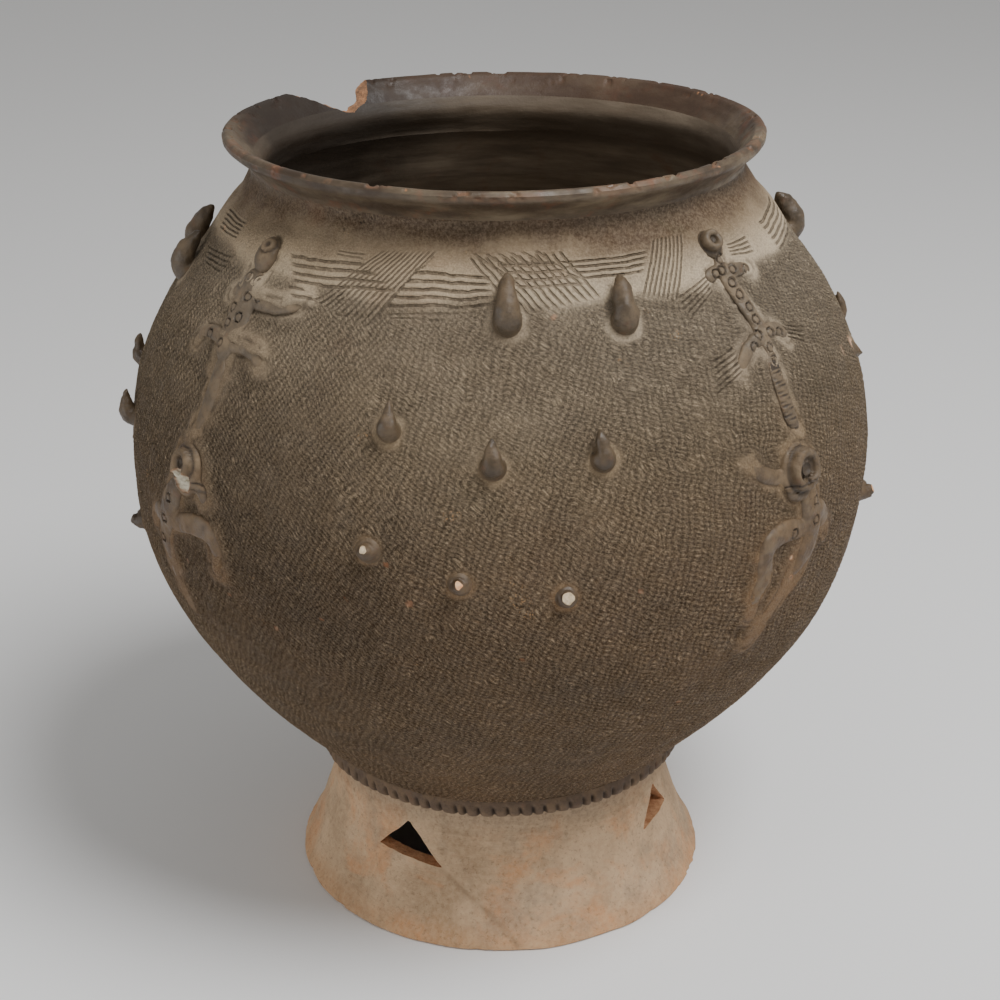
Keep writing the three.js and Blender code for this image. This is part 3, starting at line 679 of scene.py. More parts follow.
def course_loop(low, high, row):
    """The outline of a coiled course, with the side that each point is on and its station."""
    outer_at = wall_stations(low, high, row)
    inner_at = wall_stations(low + LAP, high + LAP, COARSE_ROW)[::-1]
    outer = outline(outer_at)[0]
    inner = outline(inner_at, -wall_thickness(inner_at))[0]
    top = between(outer[-1], inner[0], 3.2)[1:]
    bottom = between(inner[-1], outer[0], 3.2)[1:]
    loop = [*outer, *top, *inner, *bottom]
    side = [OUTER] * len(outer) + [JOINT] * len(top) + [INNER] * len(inner) + [JOINT] * len(bottom)
    station = [*outer_at, *[high] * len(top), *inner_at, *[low] * len(bottom)]
    return loop, np.array(side), np.array(station)


def inside_face(points):
    """Relief of the wiped inside of the wall, towards the middle, in mm."""
    wiped = points * np.array([0.12, 0.12, 1.0])
    return 0.6 * lumps(points, 60, 11) + 0.22 * lumps(points, 17, 12) + 0.14 * lumps(wiped, 2.6, 13)


def add_bead_map(piece, beyond):
    """Lays the rolled print on a piece as a map, so that the finish follows the beads of its shape."""
    mesh = piece.data
    vertex = np.empty(len(mesh.loops), np.int64)
    mesh.loops.foreach_get("vertex_index", vertex)
    starts = np.empty(len(mesh.polygons), np.int64)
    mesh.polygons.foreach_get("loop_start", starts)
    totals = np.empty(len(mesh.polygons), np.int64)
    mesh.polygons.foreach_get("loop_total", totals)
    azimuth, up, radius, warp = beyond
    face = np.repeat(np.arange(len(starts)), totals)
    first = vertex[starts]
    middle = azimuth[first] + 180.0 / COLUMNS
    strip = rolled_strip(middle, up[first])[face]
    near = azimuth[first][face] + turn_between(azimuth[vertex], azimuth[first][face])
    u, v = rolled_place(near, up[vertex], radius[vertex], (warp[0][vertex], warp[1][vertex]), strip)
    layer = mesh.uv_layers.new(name="rolled")
    layer.data.foreach_set("uv", np.stack([u, v], 1).ravel())


def finish_faces(piece, materials, slots=None):
    """Gives a piece its materials, and smooth shading with its edges kept."""
    for material in materials:
        piece.data.materials.append(material)
    if slots is not None:
        piece.data.polygons.foreach_set("material_index", slots)
    only(piece)
    bpy.ops.object.shade_smooth_by_angle(angle=math.radians(50))


def face_first(piece, values):
    """A value of each face from its first point."""
    starts = np.empty(len(piece.data.polygons), np.int64)
    piece.data.polygons.foreach_get("loop_start", starts)
    vertex = np.empty(len(piece.data.loops), np.int64)
    piece.data.loops.foreach_get("vertex_index", vertex)
    return values[vertex[starts]]


def face_smallest(piece, values):
    """The smallest of each face's point values."""
    starts = np.empty(len(piece.data.polygons), np.int64)
    piece.data.polygons.foreach_get("loop_start", starts)
    vertex = np.empty(len(piece.data.loops), np.int64)
    piece.data.loops.foreach_get("vertex_index", vertex)
    return np.minimum.reduceat(values[vertex], starts)


def settle(piece, slot_name, *nodes):
    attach(piece, BODY)
    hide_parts(*nodes)


def wall_skin(name, loop, side, station, materials, slot_name, face=wall_face):
    """A piece of the wall: spun, given its relief and marks, and finished."""
    skin = spun_skin(name, loop)
    points = points_of(skin)
    row = np.rint(marks_of(skin, "row")).astype(int)
    skin.data.attributes.remove(skin.data.attributes["row"])
    azimuth = np.degrees(np.arctan2(points[:, 0], -points[:, 1]))
    radius = np.hypot(points[:, 0], points[:, 1])
    out2 = outline(station)[1][row]
    turn = np.radians(azimuth)
    out = np.stack([np.sin(turn) * out2[:, 0], -np.cos(turn) * out2[:, 0], out2[:, 1]], 1)
    up = np.interp(station[row], STATIONS, OUTLINE_LENGTH)
    on_outside = side[row] == OUTER
    on_inside = side[row] == INNER
    moved = out_of_round(points)
    relief, marks = face(points[on_outside], azimuth[on_outside], up[on_outside], radius[on_outside])
    moved[on_outside] += out[on_outside] * relief[:, None]
    moved[on_inside] -= out[on_inside] * inside_face(points[on_inside])[:, None]
    move_points(skin, moved)
    for key, values in marks.items():
        full = np.zeros(len(points))
        full[on_outside] = values
        mark(skin, key, full)
    add_bead_map(skin, (azimuth, up, radius, bead_warp(points)))
    outer_face = face_smallest(skin, np.where(on_outside, 1, 0)) == 1
    finish_faces(skin, materials, np.where(outer_face, 0, 1))
    settle(skin, slot_name, name)
    return skin


# Finishes

def new_finish(name):
    material = bpy.data.materials.new(name)
    material.use_nodes = True
    return material, material.node_tree


def node(tree, kind, inputs=None, **settings):
    """A node with its settings, with each input either linked or set."""
    made = tree.nodes.new(kind)
    for key, value in settings.items():
        setattr(made, key, value)
    for key, value in (inputs or {}).items():
        if isinstance(value, bpy.types.NodeSocket):
            tree.links.new(value, made.inputs[key])
        else:
            made.inputs[key].default_value = value
    return made


def work(tree, operation, a, b=None, c=None):
    inputs = {k: v for k, v in enumerate((a, b, c)) if v is not None}
    return node(tree, "ShaderNodeMath", inputs, operation=operation).outputs[0]


def spread(tree, value, low, high, to_low=0.0, to_high=1.0):
    return node(tree, "ShaderNodeMapRange", {0: value, 1: low, 2: high, 3: to_low, 4: to_high},
                interpolation_type="SMOOTHSTEP").outputs[0]


def blend(tree, share, first, second, way="MIX"):
    return node(tree, "ShaderNodeMix", {0: share, 6: first, 7: second},
                data_type="RGBA", blend_type=way).outputs[2]


def tint(tree, tone, share, strength, colour):
    """A tone that takes on a colour, with that strength where the share is full."""
    return blend(tree, work(tree, "MULTIPLY", share, strength), tone, rgba(*colour))


def grain(tree, place, scale, detail=3.0, roughness=0.55, distortion=0.0):
    """Noise at a scale in lumps to the metre, from 0 to 1."""
    return node(tree, "ShaderNodeTexNoise", {
        "Vector": place, "Scale": scale, "Detail": detail, "Roughness": roughness,
        "Distortion": distortion}).outputs["Fac"]


def kept(tree, name):
    return node(tree, "ShaderNodeAttribute", attribute_name=name, attribute_type="GEOMETRY").outputs["Fac"]


def object_place(tree):
    return node(tree, "ShaderNodeTexCoord").outputs["Object"]


def height_of(tree, place):
    return node(tree, "ShaderNodeSeparateXYZ", {0: place}).outputs["Z"]


def ramp(tree, value, stops):
    """A colour ramp through [position, colour] stops."""
    made = node(tree, "ShaderNodeValToRGB", {0: value})
    elements = made.color_ramp.elements
    elements[0].position, elements[0].color = stops[0][0], (*stops[0][1], 1)
    elements[1].position, elements[1].color = stops[-1][0], (*stops[-1][1], 1)
    for position, colour in stops[1:-1]:
        element = elements.new(position)
        element.color = (*colour, 1)
    return made.outputs[0]


def shader_of(tree):
    return tree.nodes["Principled BSDF"]


def rgb(red, green, blue):
    """A colour as it is seen, from 0 to 255, as light."""
    def light(value):
        value /= 255
        return value / 12.92 if value <= 0.04045 else ((value + 0.055) / 1.055) ** 2.4
    return (light(red), light(green), light(blue))


def rgba(*seen):
    return (*rgb(*seen), 1)


def roll_place(tree):
    return node(tree, "ShaderNodeUVMap", uv_map="rolled").outputs[0]


def bead_height(tree, uv):
    """The same print as the shape has, with ragged edges, for the finish."""
    split = node(tree, "ShaderNodeSeparateXYZ", {0: uv})
    turns = []
    for axis, shift in ((0, (3.1, 7.7, 0.3)), (1, (9.4, 1.9, 5.2))):
        moved = node(tree, "ShaderNodeVectorMath", {0: uv, 1: shift}, operation="ADD").outputs[0]
        stray = work(tree, "SUBTRACT", grain(tree, moved, 1.9, 3, 0.65), 0.5)
        place = work(tree, "ADD", split.outputs[axis], work(tree, "MULTIPLY", stray, 0.75))
        turns.append(work(tree, "MULTIPLY", place, 2 * math.pi))
    wave = work(tree, "ADD", work(tree, "COSINE", turns[0]), work(tree, "COSINE", turns[1]))
    slanted = work(tree, "MULTIPLY", work(tree, "COSINE", work(tree, "ADD", *turns)), BEAD_SLANT)
    return spread(tree, work(tree, "ADD", wave, slanted), -1.5, 1.4)


def fibre_height(tree, uv):
    """Short slanted marks of the cord's strands on the beads."""
    drawn = node(tree, "ShaderNodeMapping", {0: uv, "Scale": (1.0, 2.3, 1.0)}).outputs[0]
    return spread(tree, grain(tree, drawn, 2.3, 3, 0.62, 0.3), 0.38, 0.62)


def comb_grooves(tree, place):
    """Grooves of the two layers of comb strokes, from 0 to 1, for their bump and the painted shade in them.
    """
    stray = work(tree, "MULTIPLY", work(tree, "SUBTRACT", grain(tree, place, 240, 4, 0.65), 0.5), 0.34)
    rough = spread(tree, grain(tree, place, 420, 3, 0.6), 0.25, 0.6, 0.4, 1.0)
    cuts = []
    for tail in ("", "_2"):
        turn = work(tree, "MULTIPLY", work(tree, "ADD", kept(tree, "comb_line" + tail), stray), 2 * math.pi)
        cut = spread(tree, work(tree, "COSINE", turn), 0.0, 0.8)
        cuts.append(work(tree, "MULTIPLY", cut, kept(tree, "comb_part" + tail)))
    return work(tree, "MULTIPLY", work(tree, "MAXIMUM", *cuts), rough)


CLAY_TONES = [
    (0.00, rgb(158, 111, 62)), (0.25, rgb(158, 119, 75)), (0.50, rgb(137, 102, 65)),
    (0.72, rgb(164, 142, 111)), (0.86, rgb(194, 176, 149)), (0.905, rgb(160, 141, 114)),
    (0.955, rgb(75, 57, 40)), (1.00, rgb(55, 43, 31)),
]


def make_wall_clay(name, lip_gloss):
    """Dusty grey brown clay of the wall, darker below and burnished dark at the neck, with painted light and
    shade.
    """
    material, tree = new_finish(name)
    place = object_place(tree)
    z = height_of(tree, place)
    broad = grain(tree, place, 13, 4, 0.6)
    stray = work(tree, "MULTIPLY", work(tree, "SUBTRACT", broad, 0.5), 0.05)
    share = node(tree, "ShaderNodeMapRange", {0: work(tree, "ADD", z, stray), 1: 0.08, 2: 0.432}).outputs[0]
    tone = ramp(tree, share, CLAY_TONES)
    patch = spread(tree, grain(tree, place, 22, 5, 0.62), 0.42, 0.68)
    tone = tint(tree, tone, patch, 0.38, (78, 60, 45))
    warm = spread(tree, grain(tree, place, 38, 3, 0.5), 0.56, 0.74)
    tone = tint(tree, tone, warm, 0.22, (122, 84, 62))
    cool = spread(tree, grain(tree, place, 31, 3, 0.5, 0.4), 0.58, 0.75)
    tone = tint(tree, tone, cool, 0.16, (88, 88, 62))
    left = node(tree, "ShaderNodeSeparateXYZ", {0: place}).outputs[0]
    cloudy = work(tree, "MULTIPLY", work(tree, "SUBTRACT", broad, 0.5), 0.22)
    strayed = work(tree, "ADD", left, cloudy)
    # Painted light: the shoulder is painted paler towards the right, where the key light falls, and this
    # fades out at the neck.
    painted_light_right = work(tree, "MULTIPLY", spread(tree, strayed, -0.06, 0.06),
                 spread(tree, z, 0.31, 0.375, 0.0, 0.44))
    painted_light_right = work(tree, "MULTIPLY", painted_light_right, spread(tree, z, 0.408, 0.394))
    tone = blend(tree, painted_light_right, tone, rgba(214, 198, 174))
    stain = work(tree, "MULTIPLY", spread(tree, strayed, -0.02, -0.1), spread(tree, z, 0.365, 0.32))
    stain = work(tree, "MULTIPLY", stain, spread(tree, strayed, -0.2, -0.14, 0.25, 1.0))
    tone = tint(tree, tone, stain, 0.3, (64, 44, 26))
    speck = spread(tree, grain(tree, place, 620, 4, 0.7), 0.38, 0.64)
    tone = tint(tree, tone, speck, 0.24, (164, 146, 122))
    below_neck = spread(tree, z, 0.412, 0.398, 0.25, 1.0)
    pitted = work(tree, "MULTIPLY", spread(tree, grain(tree, place, 450, 4, 0.7), 0.54, 0.68), below_neck)
    tone = tint(tree, tone, pitted, 0.34, (52, 41, 31))
    tone = tint(tree, tone, kept(tree, "dust"), 0.5, (160, 142, 118))
    roll = roll_place(tree)
    beads = bead_height(tree, roll)
    fibres = fibre_height(tree, roll)
    printed = kept(tree, "printed")
    # How strongly the pits of the print carry painted shade; a little weaker under the painted light on the
    # right.
    open_pits = work(tree, "MULTIPLY", printed, spread(tree, painted_light_right, 0.0, 0.44, 1.0, 0.9))
    # Painted shade in the pits of the print and between the strands of the cord.
    pit = work(tree, "MULTIPLY", work(tree, "SUBTRACT", 1.0, beads), open_pits)
    tone = tint(tree, tone, pit, 0.5, (44, 33, 23))
    between_fibres = work(tree, "MULTIPLY", work(tree, "SUBTRACT", 1.0, fibres), open_pits)
    tone = tint(tree, tone, between_fibres, 0.5, (52, 39, 27))
    # The crests of the print are painted paler: dust on the raised beads, and painted highlight.
    crest = work(tree, "MULTIPLY", work(tree, "MULTIPLY", beads, fibres), printed)
    tone = tint(tree, tone, crest, 0.52, (190, 169, 139))
    sand = spread(tree, grain(tree, place, 1250, 2, 0.5), 0.42, 0.62)
    grit = work(tree, "MULTIPLY", below_neck, 0.25)
    tone = tint(tree, tone, sand, grit, (178, 158, 130))
    tone = tint(tree, tone, work(tree, "SUBTRACT", 1.0, sand), grit, (46, 35, 25))
    smoothed = work(tree, "MULTIPLY", work(tree, "SUBTRACT", 1.0, printed), spread(tree, z, 0.394, 0.378))
    tone = tint(tree, tone, smoothed, 0.4, (50, 38, 27))
    combed = comb_grooves(tree, place)
    # Painted light and shade on the combing: the combed area is painted paler as painted highlight on its
    # ridges, and its grooves darker as painted shade.
    both = work(tree, "MAXIMUM", kept(tree, "comb_part"), kept(tree, "comb_part_2"))
    tone = tint(tree, tone, both, 0.22, (176, 158, 132))
    tone = tint(tree, tone, combed, 0.6, (58, 46, 34))
    # Painted shade in the grooves: seams, rings, notches and contact lines are painted darker.
    tone = tint(tree, tone, kept(tree, "groove_and_shade"), 0.65, (44, 34, 25))
    cluster = spread(tree, grain(tree, place, 41, 2, 0.5), 0.69, 0.74)
    fleck = work(tree, "MULTIPLY", cluster, spread(tree, grain(tree, place, 900, 2, 0.5), 0.58, 0.66))
    tone = tint(tree, tone, fleck, 0.75, (200, 156, 108))
    under = blend(tree, kept(tree, "pale"), rgba(172, 112, 72), rgba(226, 208, 180))
    tone = blend(tree, kept(tree, "bare"), tone, under)
    shader = shader_of(tree)
    tree.links.new(tone, shader.inputs["Base Color"])
    rough = spread(tree, grain(tree, place, 90, 4, 0.6), 0.3, 0.7, 0.62, 0.92)
    if lip_gloss:
        polish = work(tree, "MULTIPLY", spread(tree, z, 0.416, 0.428), -0.34)
        rough = work(tree, "ADD", rough, polish)
    tree.links.new(rough, shader.inputs["Roughness"])
    shader.inputs["Specular IOR Level"].default_value = 0.28
    fine = grain(tree, place, 900, 4, 0.6)
    print_height = work(tree, "ADD", work(tree, "MULTIPLY", beads, 0.6), work(tree, "MULTIPLY", fibres, 0.75))
    high = work(tree, "ADD", work(tree, "MULTIPLY", print_height, printed), work(tree, "MULTIPLY", fine, 0.4))
    high = work(tree, "SUBTRACT", high, work(tree, "MULTIPLY", combed, 0.9))
    bump = node(tree, "ShaderNodeBump", {"Strength": 1.0, "Distance": 0.0018, "Height": high})
    tree.links.new(bump.outputs[0], shader.inputs["Normal"])
    return material


def smoked(tree, place, tone):
    """Soot inside the mouth, thickest on the left of the broken place."""
    away = node(tree, "ShaderNodeVectorMath", {0: place, 1: SOOT_PLACE}, operation="DISTANCE").outputs[1]
    away = work(tree, "ADD", away, work(tree, "MULTIPLY", grain(tree, place, 30, 4, 0.6), 0.05))
    return blend(tree, spread(tree, away, 0.135, 0.07, 0.0, 0.8), tone, rgba(30, 23, 17))


def make_sooty_inside():
    """Near black, wiped inside of the pot, painted pale in its shadowed depth as painted light, and darker
    near the mouth as painted shade.
    """
    material, tree = new_finish("sooty_inside")
    place = object_place(tree)
    z = height_of(tree, place)
    wiped = node(tree, "ShaderNodeMapping", {0: place, "Scale": (0.25, 0.25, 1.6)}).outputs[0]
    streak = grain(tree, wiped, 70, 5, 0.65)
    # Painted light: the inside is painted far paler than its near black clay, as if light reached its
    # shadowed depth.
    tone = blend(tree, spread(tree, streak, 0.3, 0.72), rgba(118, 105, 90), rgba(168, 153, 133))
    rust = spread(tree, grain(tree, place, 46, 4, 0.6), 0.55, 0.75)
    tone = tint(tree, tone, rust, 0.4, (136, 96, 68))
    # Lower down it is painted one even pale grey, also painted light.
    tone = blend(tree, spread(tree, z, 0.30, 0.18), tone, rgba(134, 120, 104))
    # Painted shade: near the mouth, where the top lamp falls on it, the inside is painted darker.
    shaded = spread(tree, streak, 0.3, 0.72, 1.0, 0.78)
    tone = tint(tree, tone, spread(tree, z, 0.393, 0.412), shaded, (84, 71, 56))
    tone = smoked(tree, place, tone)
    shader = shader_of(tree)
    tree.links.new(tone, shader.inputs["Base Color"])
    tree.links.new(spread(tree, streak, 0.3, 0.7, 0.5, 0.8), shader.inputs["Roughness"])
    shader.inputs["Specular IOR Level"].default_value = 0.4
    high = work(tree, "ADD", streak, work(tree, "MULTIPLY", grain(tree, place, 420, 4, 0.6), 0.4))
    bump = node(tree, "ShaderNodeBump", {"Strength": 0.45, "Distance": 0.0009, "Height": high})
    tree.links.new(bump.outputs[0], shader.inputs["Normal"])
    return material


def make_lip_clay():
    """Burnished, almost black lip, worn red brown on its edge, with painted sheen and painted shade on it."""
    material, tree = new_finish("burnished_lip")
    place = object_place(tree)
    round_lip = node(tree, "ShaderNodeMapping", {0: place, "Scale": (0.5, 0.5, 1.7)}).outputs[0]
    # The pale end of the mottling, streaked round the lip, is partly painted sheen.
    mottle_and_painted_sheen = grain(tree, round_lip, 46, 6, 0.65)
    tone = blend(tree, spread(tree, mottle_and_painted_sheen, 0.34, 0.68), rgba(66, 53, 40), rgba(118, 104, 84))
    left = node(tree, "ShaderNodeSeparateXYZ", {0: place}).outputs[0]
    # Painted shade: the lip is painted darker towards the left, away from the key light.
    tone = blend(tree, spread(tree, left, 0.02, -0.09, 0.0, 0.4), tone, rgba(48, 36, 26))
    rust = spread(tree, grain(tree, place, 58, 5, 0.65), 0.52, 0.7)
    tone = tint(tree, tone, rust, 0.55, (112, 70, 48))
    tone = tint(tree, tone, kept(tree, "worn"), 0.6, (122, 86, 62))
    back = node(tree, "ShaderNodeSeparateXYZ", {0: place}).outputs[1]
    tone = tint(tree, tone, spread(tree, back, -0.04, 0.08), 0.72, (64, 44, 31))
    tone = smoked(tree, place, tone)
    tone = blend(tree, kept(tree, "bare"), tone, rgba(190, 134, 92))
    shader = shader_of(tree)
    tree.links.new(tone, shader.inputs["Base Color"])
    rough = spread(tree, grain(tree, place, 120, 4, 0.6), 0.3, 0.7, 0.42, 0.66)
    tree.links.new(rough, shader.inputs["Roughness"])
    shader.inputs["Specular IOR Level"].default_value = 0.4
    high = work(tree, "ADD", grain(tree, place, 160, 5, 0.6),
                work(tree, "MULTIPLY", grain(tree, place, 900, 3, 0.6), 0.35))
    bump = node(tree, "ShaderNodeBump", {"Strength": 0.4, "Distance": 0.0008, "Height": high})
    tree.links.new(bump.outputs[0], shader.inputs["Normal"])
    return material


def make_broken_clay(name, main, pale):
    """Open, gritty clay of a break or a knife cut."""
    material, tree = new_finish(name)
    place = object_place(tree)
    grit = grain(tree, place, 260, 6, 0.7)
    tone = blend(tree, spread(tree, grit, 0.3, 0.7), rgba(*main), rgba(*pale))
    dark = spread(tree, grain(tree, place, 700, 3, 0.6), 0.6, 0.72)
    tone = tint(tree, tone, dark, 0.5, (66, 48, 34))
    shader = shader_of(tree)
    tree.links.new(tone, shader.inputs["Base Color"])
    shader.inputs["Roughness"].default_value = 0.9
    bump = node(tree, "ShaderNodeBump", {"Strength": 0.7, "Distance": 0.0008, "Height": grit})
    tree.links.new(bump.outputs[0], shader.inputs["Normal"])
    return material


def make_foot_clay():
    """Tan and pinkish grey clay of the foot, with orange patches and painted shadow under the cordon."""
    material, tree = new_finish("foot_clay")
    place = object_place(tree)
    z = height_of(tree, place)
    cloud = spread(tree, grain(tree, place, 19, 6, 0.62), 0.36, 0.64)
    tone = blend(tree, cloud, rgba(158, 131, 102), rgba(196, 166, 134))
    orange = spread(tree, grain(tree, place, 23, 6, 0.65, 0.6), 0.5, 0.66)
    tone = tint(tree, tone, orange, 0.6, (198, 138, 90))
    ashen = spread(tree, grain(tree, place, 29, 6, 0.65), 0.5, 0.68)
    tone = tint(tree, tone, ashen, 0.5, (134, 120, 104))
    ragged_height = work(tree, "ADD", z, work(tree, "MULTIPLY", grain(tree, place, 24, 4, 0.6), 0.022))
    # Painted shadow: the top of the foot under the cordon is painted darker and greyer.
    tone = tint(tree, tone, spread(tree, ragged_height, 0.064, 0.088), 0.85, (132, 114, 94))
    low = spread(tree, ragged_height, 0.028, 0.012)
    tone = tint(tree, tone, low, 0.5, (192, 142, 98))
    wet = node(tree, "ShaderNodeMapping", {0: place, "Scale": (1.0, 1.0, 0.35)}).outputs[0]
    streaks = spread(tree, grain(tree, wet, 70, 4, 0.6), 0.52, 0.72)
    tone = tint(tree, tone, streaks, 0.3, (124, 108, 88))
    stain = spread(tree, grain(tree, place, 48, 4, 0.55), 0.64, 0.75)
    tone = tint(tree, tone, stain, 0.5, (98, 84, 66))
    gritty = spread(tree, grain(tree, place, 330, 5, 0.7), 0.36, 0.64)
    tone = tint(tree, tone, gritty, 0.3, (206, 180, 146))
    speck = spread(tree, grain(tree, place, 480, 4, 0.65), 0.54, 0.68)
    tone = tint(tree, tone, speck, 0.4, (104, 84, 64))
    # Painted shade in the crack.
    tone = tint(tree, tone, kept(tree, "groove_and_shade"), 0.5, (104, 82, 62))
    shader = shader_of(tree)
    tree.links.new(tone, shader.inputs["Base Color"])
    tree.links.new(spread(tree, cloud, 0.2, 0.8, 0.78, 0.94), shader.inputs["Roughness"])
    shader.inputs["Specular IOR Level"].default_value = 0.3
    wiped = node(tree, "ShaderNodeMapping", {0: place, "Scale": (0.35, 0.35, 1.5)}).outputs[0]
    high = work(tree, "ADD", grain(tree, wiped, 180, 5, 0.6),
                work(tree, "MULTIPLY", grain(tree, place, 1000, 3, 0.6), 0.3))
    bump = node(tree, "ShaderNodeBump", {"Strength": 0.7, "Distance": 0.0011, "Height": high})
    tree.links.new(bump.outputs[0], shader.inputs["Normal"])
    return material


def make_relief_clay(name, dark, light, gloss, like_wall=0.0):
    """Smoothed clay of what is luted on the wall, rubbed on its high places."""
    material, tree = new_finish(name)
    place = object_place(tree)
    cloud = spread(tree, grain(tree, place, 85, 5, 0.6), 0.34, 0.68)
    tone = blend(tree, cloud, rgba(*dark), rgba(*light))
    share = node(tree, "ShaderNodeMapRange", {0: height_of(tree, place), 1: 0.08, 2: 0.432}).outputs[0]
    tone = blend(tree, like_wall, tone, ramp(tree, share, CLAY_TONES[:6]))
    pitted = spread(tree, grain(tree, place, 520, 4, 0.7), 0.52, 0.68)
    tone = tint(tree, tone, pitted, 0.4, (48, 38, 29))
    rust = spread(tree, grain(tree, place, 130, 4, 0.6), 0.58, 0.74)
    tone = tint(tree, tone, rust, 0.35, (112, 76, 54))
    tone = tint(tree, tone, kept(tree, "dust"), 0.26, (140, 122, 98))
    # Painted shade in the grooves, and along the foot of each luted piece.
    tone = tint(tree, tone, kept(tree, "groove_and_shade"), 0.85, (36, 28, 22))
    under = blend(tree, kept(tree, "pale"), rgba(190, 128, 86), rgba(184, 178, 158))
    tone = blend(tree, kept(tree, "bare"), tone, under)
    shader = shader_of(tree)
    tree.links.new(tone, shader.inputs["Base Color"])
    tree.links.new(spread(tree, cloud, 0.2, 0.8, gloss, gloss + 0.2), shader.inputs["Roughness"])
    shader.inputs["Specular IOR Level"].default_value = 0.42
    high = work(tree, "ADD", grain(tree, place, 420, 4, 0.6),
                work(tree, "MULTIPLY", grain(tree, place, 1300, 3, 0.6), 0.4))
    bump = node(tree, "ShaderNodeBump", {"Strength": 0.6, "Distance": 0.0008, "Height": high})
    tree.links.new(bump.outputs[0], shader.inputs["Normal"])
    return material


WALL_CLAY = make_wall_clay("wall_clay", False)
NECK_CLAY = make_wall_clay("neck_clay", True)
SOOTY_INSIDE = make_sooty_inside()
LIP_CLAY = make_lip_clay()
BREAK_CLAY = make_broken_clay("lip_break", (112, 84, 62), (176, 128, 92))
CUT_CLAY = make_broken_clay("window_cut", (178, 124, 84), (216, 170, 130))
FOOT_CLAY = make_foot_clay()
FIGURE_CLAY = make_relief_clay("figure_clay", (50, 40, 30), (94, 77, 57), 0.5, 0.16)
SPIKE_CLAY = make_relief_clay("spike_clay", (46, 36, 26), (86, 70, 51), 0.36, 0.08)
CORDON_CLAY = make_relief_clay("cordon_clay", (84, 66, 50), (112, 92, 72), 0.7)
TIP_CREAM = make_broken_clay("tip_break_cream", (158, 136, 106), (212, 192, 162))
TIP_ORANGE = make_broken_clay("tip_break_orange", (198, 128, 82), (228, 188, 146))


# The wall

def make_bottom():
    """The rounded bottom: only the part above the cordon has the rolled print."""
    low = wall_stations(0, 3.15, COARSE_ROW / 2)
    high = wall_stations(3.15, 4, WALL_ROW)[1:]
    outer_at = np.concatenate([low, high])
    inner_at = wall_stations(0, 4 + LAP, COARSE_ROW / 2)[::-1]
    outer = outline(outer_at)[0]
    inner = outline(inner_at, -wall_thickness(inner_at))[0]
    outer[0, 0] = inner[-1, 0] = 0
    top = between(outer[-1], inner[0], 3.2)[1:]
    loop = [*outer, *top, *inner]
    side = np.array([OUTER] * len(outer) + [JOINT] * len(top) + [INNER] * len(inner))
    station = np.array([*outer_at, *[4] * len(top), *inner_at])
    wall_skin("base_bowl", loop, side, station, [WALL_CLAY, SOOTY_INSIDE], "base_clay")


def make_courses():
    for name, low, high, row in COURSES:
        loop, side, station = course_loop(low, high, row)
        wall_skin(name, loop, side, station, [WALL_CLAY, SOOTY_INSIDE], "body_clay")


def break_out(piece, cutter):
    """Takes the cutter's shape out of a piece, whose new faces get the cutter's material."""
    only(piece)
    modifier = piece.modifiers.new("cut", "BOOLEAN")
    modifier.operation = "DIFFERENCE"
    modifier.object = cutter
    modifier.solver = "EXACT"
    modifier.material_mode = "TRANSFER"
    bpy.ops.object.modifier_apply(modifier=modifier.name)
    bpy.data.objects.remove(cutter)


def radial_cutter(corners, azimuth, start, depth, rough, material):
    """A block with that outline seen from outside, drawn radially through the wall, with uneven sides."""
    turn = math.radians(azimuth)
    out = np.array([math.sin(turn), -math.cos(turn), 0])
    side = np.array([math.cos(turn), math.sin(turn), 0])
    ring = []
    for i in range(len(corners)):
        ring += between(corners[i], corners[(i + 1) % len(corners)], 1.6)
    ring = np.array(ring)
    start_piece()
    bpy.ops.mesh.primitive_circle_add(vertices=len(ring), radius=0.01, fill_type="NGON")
    cutter = bpy.context.object
    move_points(cutter, ring[:, :1] * side + ring[:, 1:] * np.array([0, 0, 1]) + out * start)
    steps = 12
    bpy.ops.object.mode_set(mode="EDIT")
    for _ in range(steps):
        bpy.ops.mesh.select_mode(type="FACE")
        bpy.ops.mesh.extrude_region_move(TRANSFORM_OT_translate={"value": tuple(out * depth / steps * MM)})
    bpy.ops.mesh.select_all(action="SELECT")
    bpy.ops.mesh.normals_make_consistent(inside=False)
    bpy.ops.object.mode_set(mode="OBJECT")
    points = points_of(cutter)
    shift = rough * (lumps(points, 5, 71) + 0.6 * lumps(points, 2.2, 72))
    lift = rough * (lumps(points, 5, 73) + 0.6 * lumps(points, 2.2, 74))
    move_points(cutter, points + shift[:, None] * side + lift[:, None] * np.array([0, 0, 1]))
    cutter.data.materials.append(material)
    return cutter


def lip_wear(points):
    """How far the lip's edge is worn away, in mm, and how much the wear shows."""
    edge = smooth_step(points[:, 2], 434, 438.5)
    bitten = smooth_step(lumps(points, 5.5, 81) + 0.5 * lumps(points, 2.4, 82), 0.42, 0.8)
    rubbed = smooth_step(lumps(points, 13, 83) + 0.4 * lumps(points, 4, 84), 0.1, 0.6)
    return edge * (1.1 * bitten + 0.2), edge * np.maximum(bitten, 0.6 * rubbed)


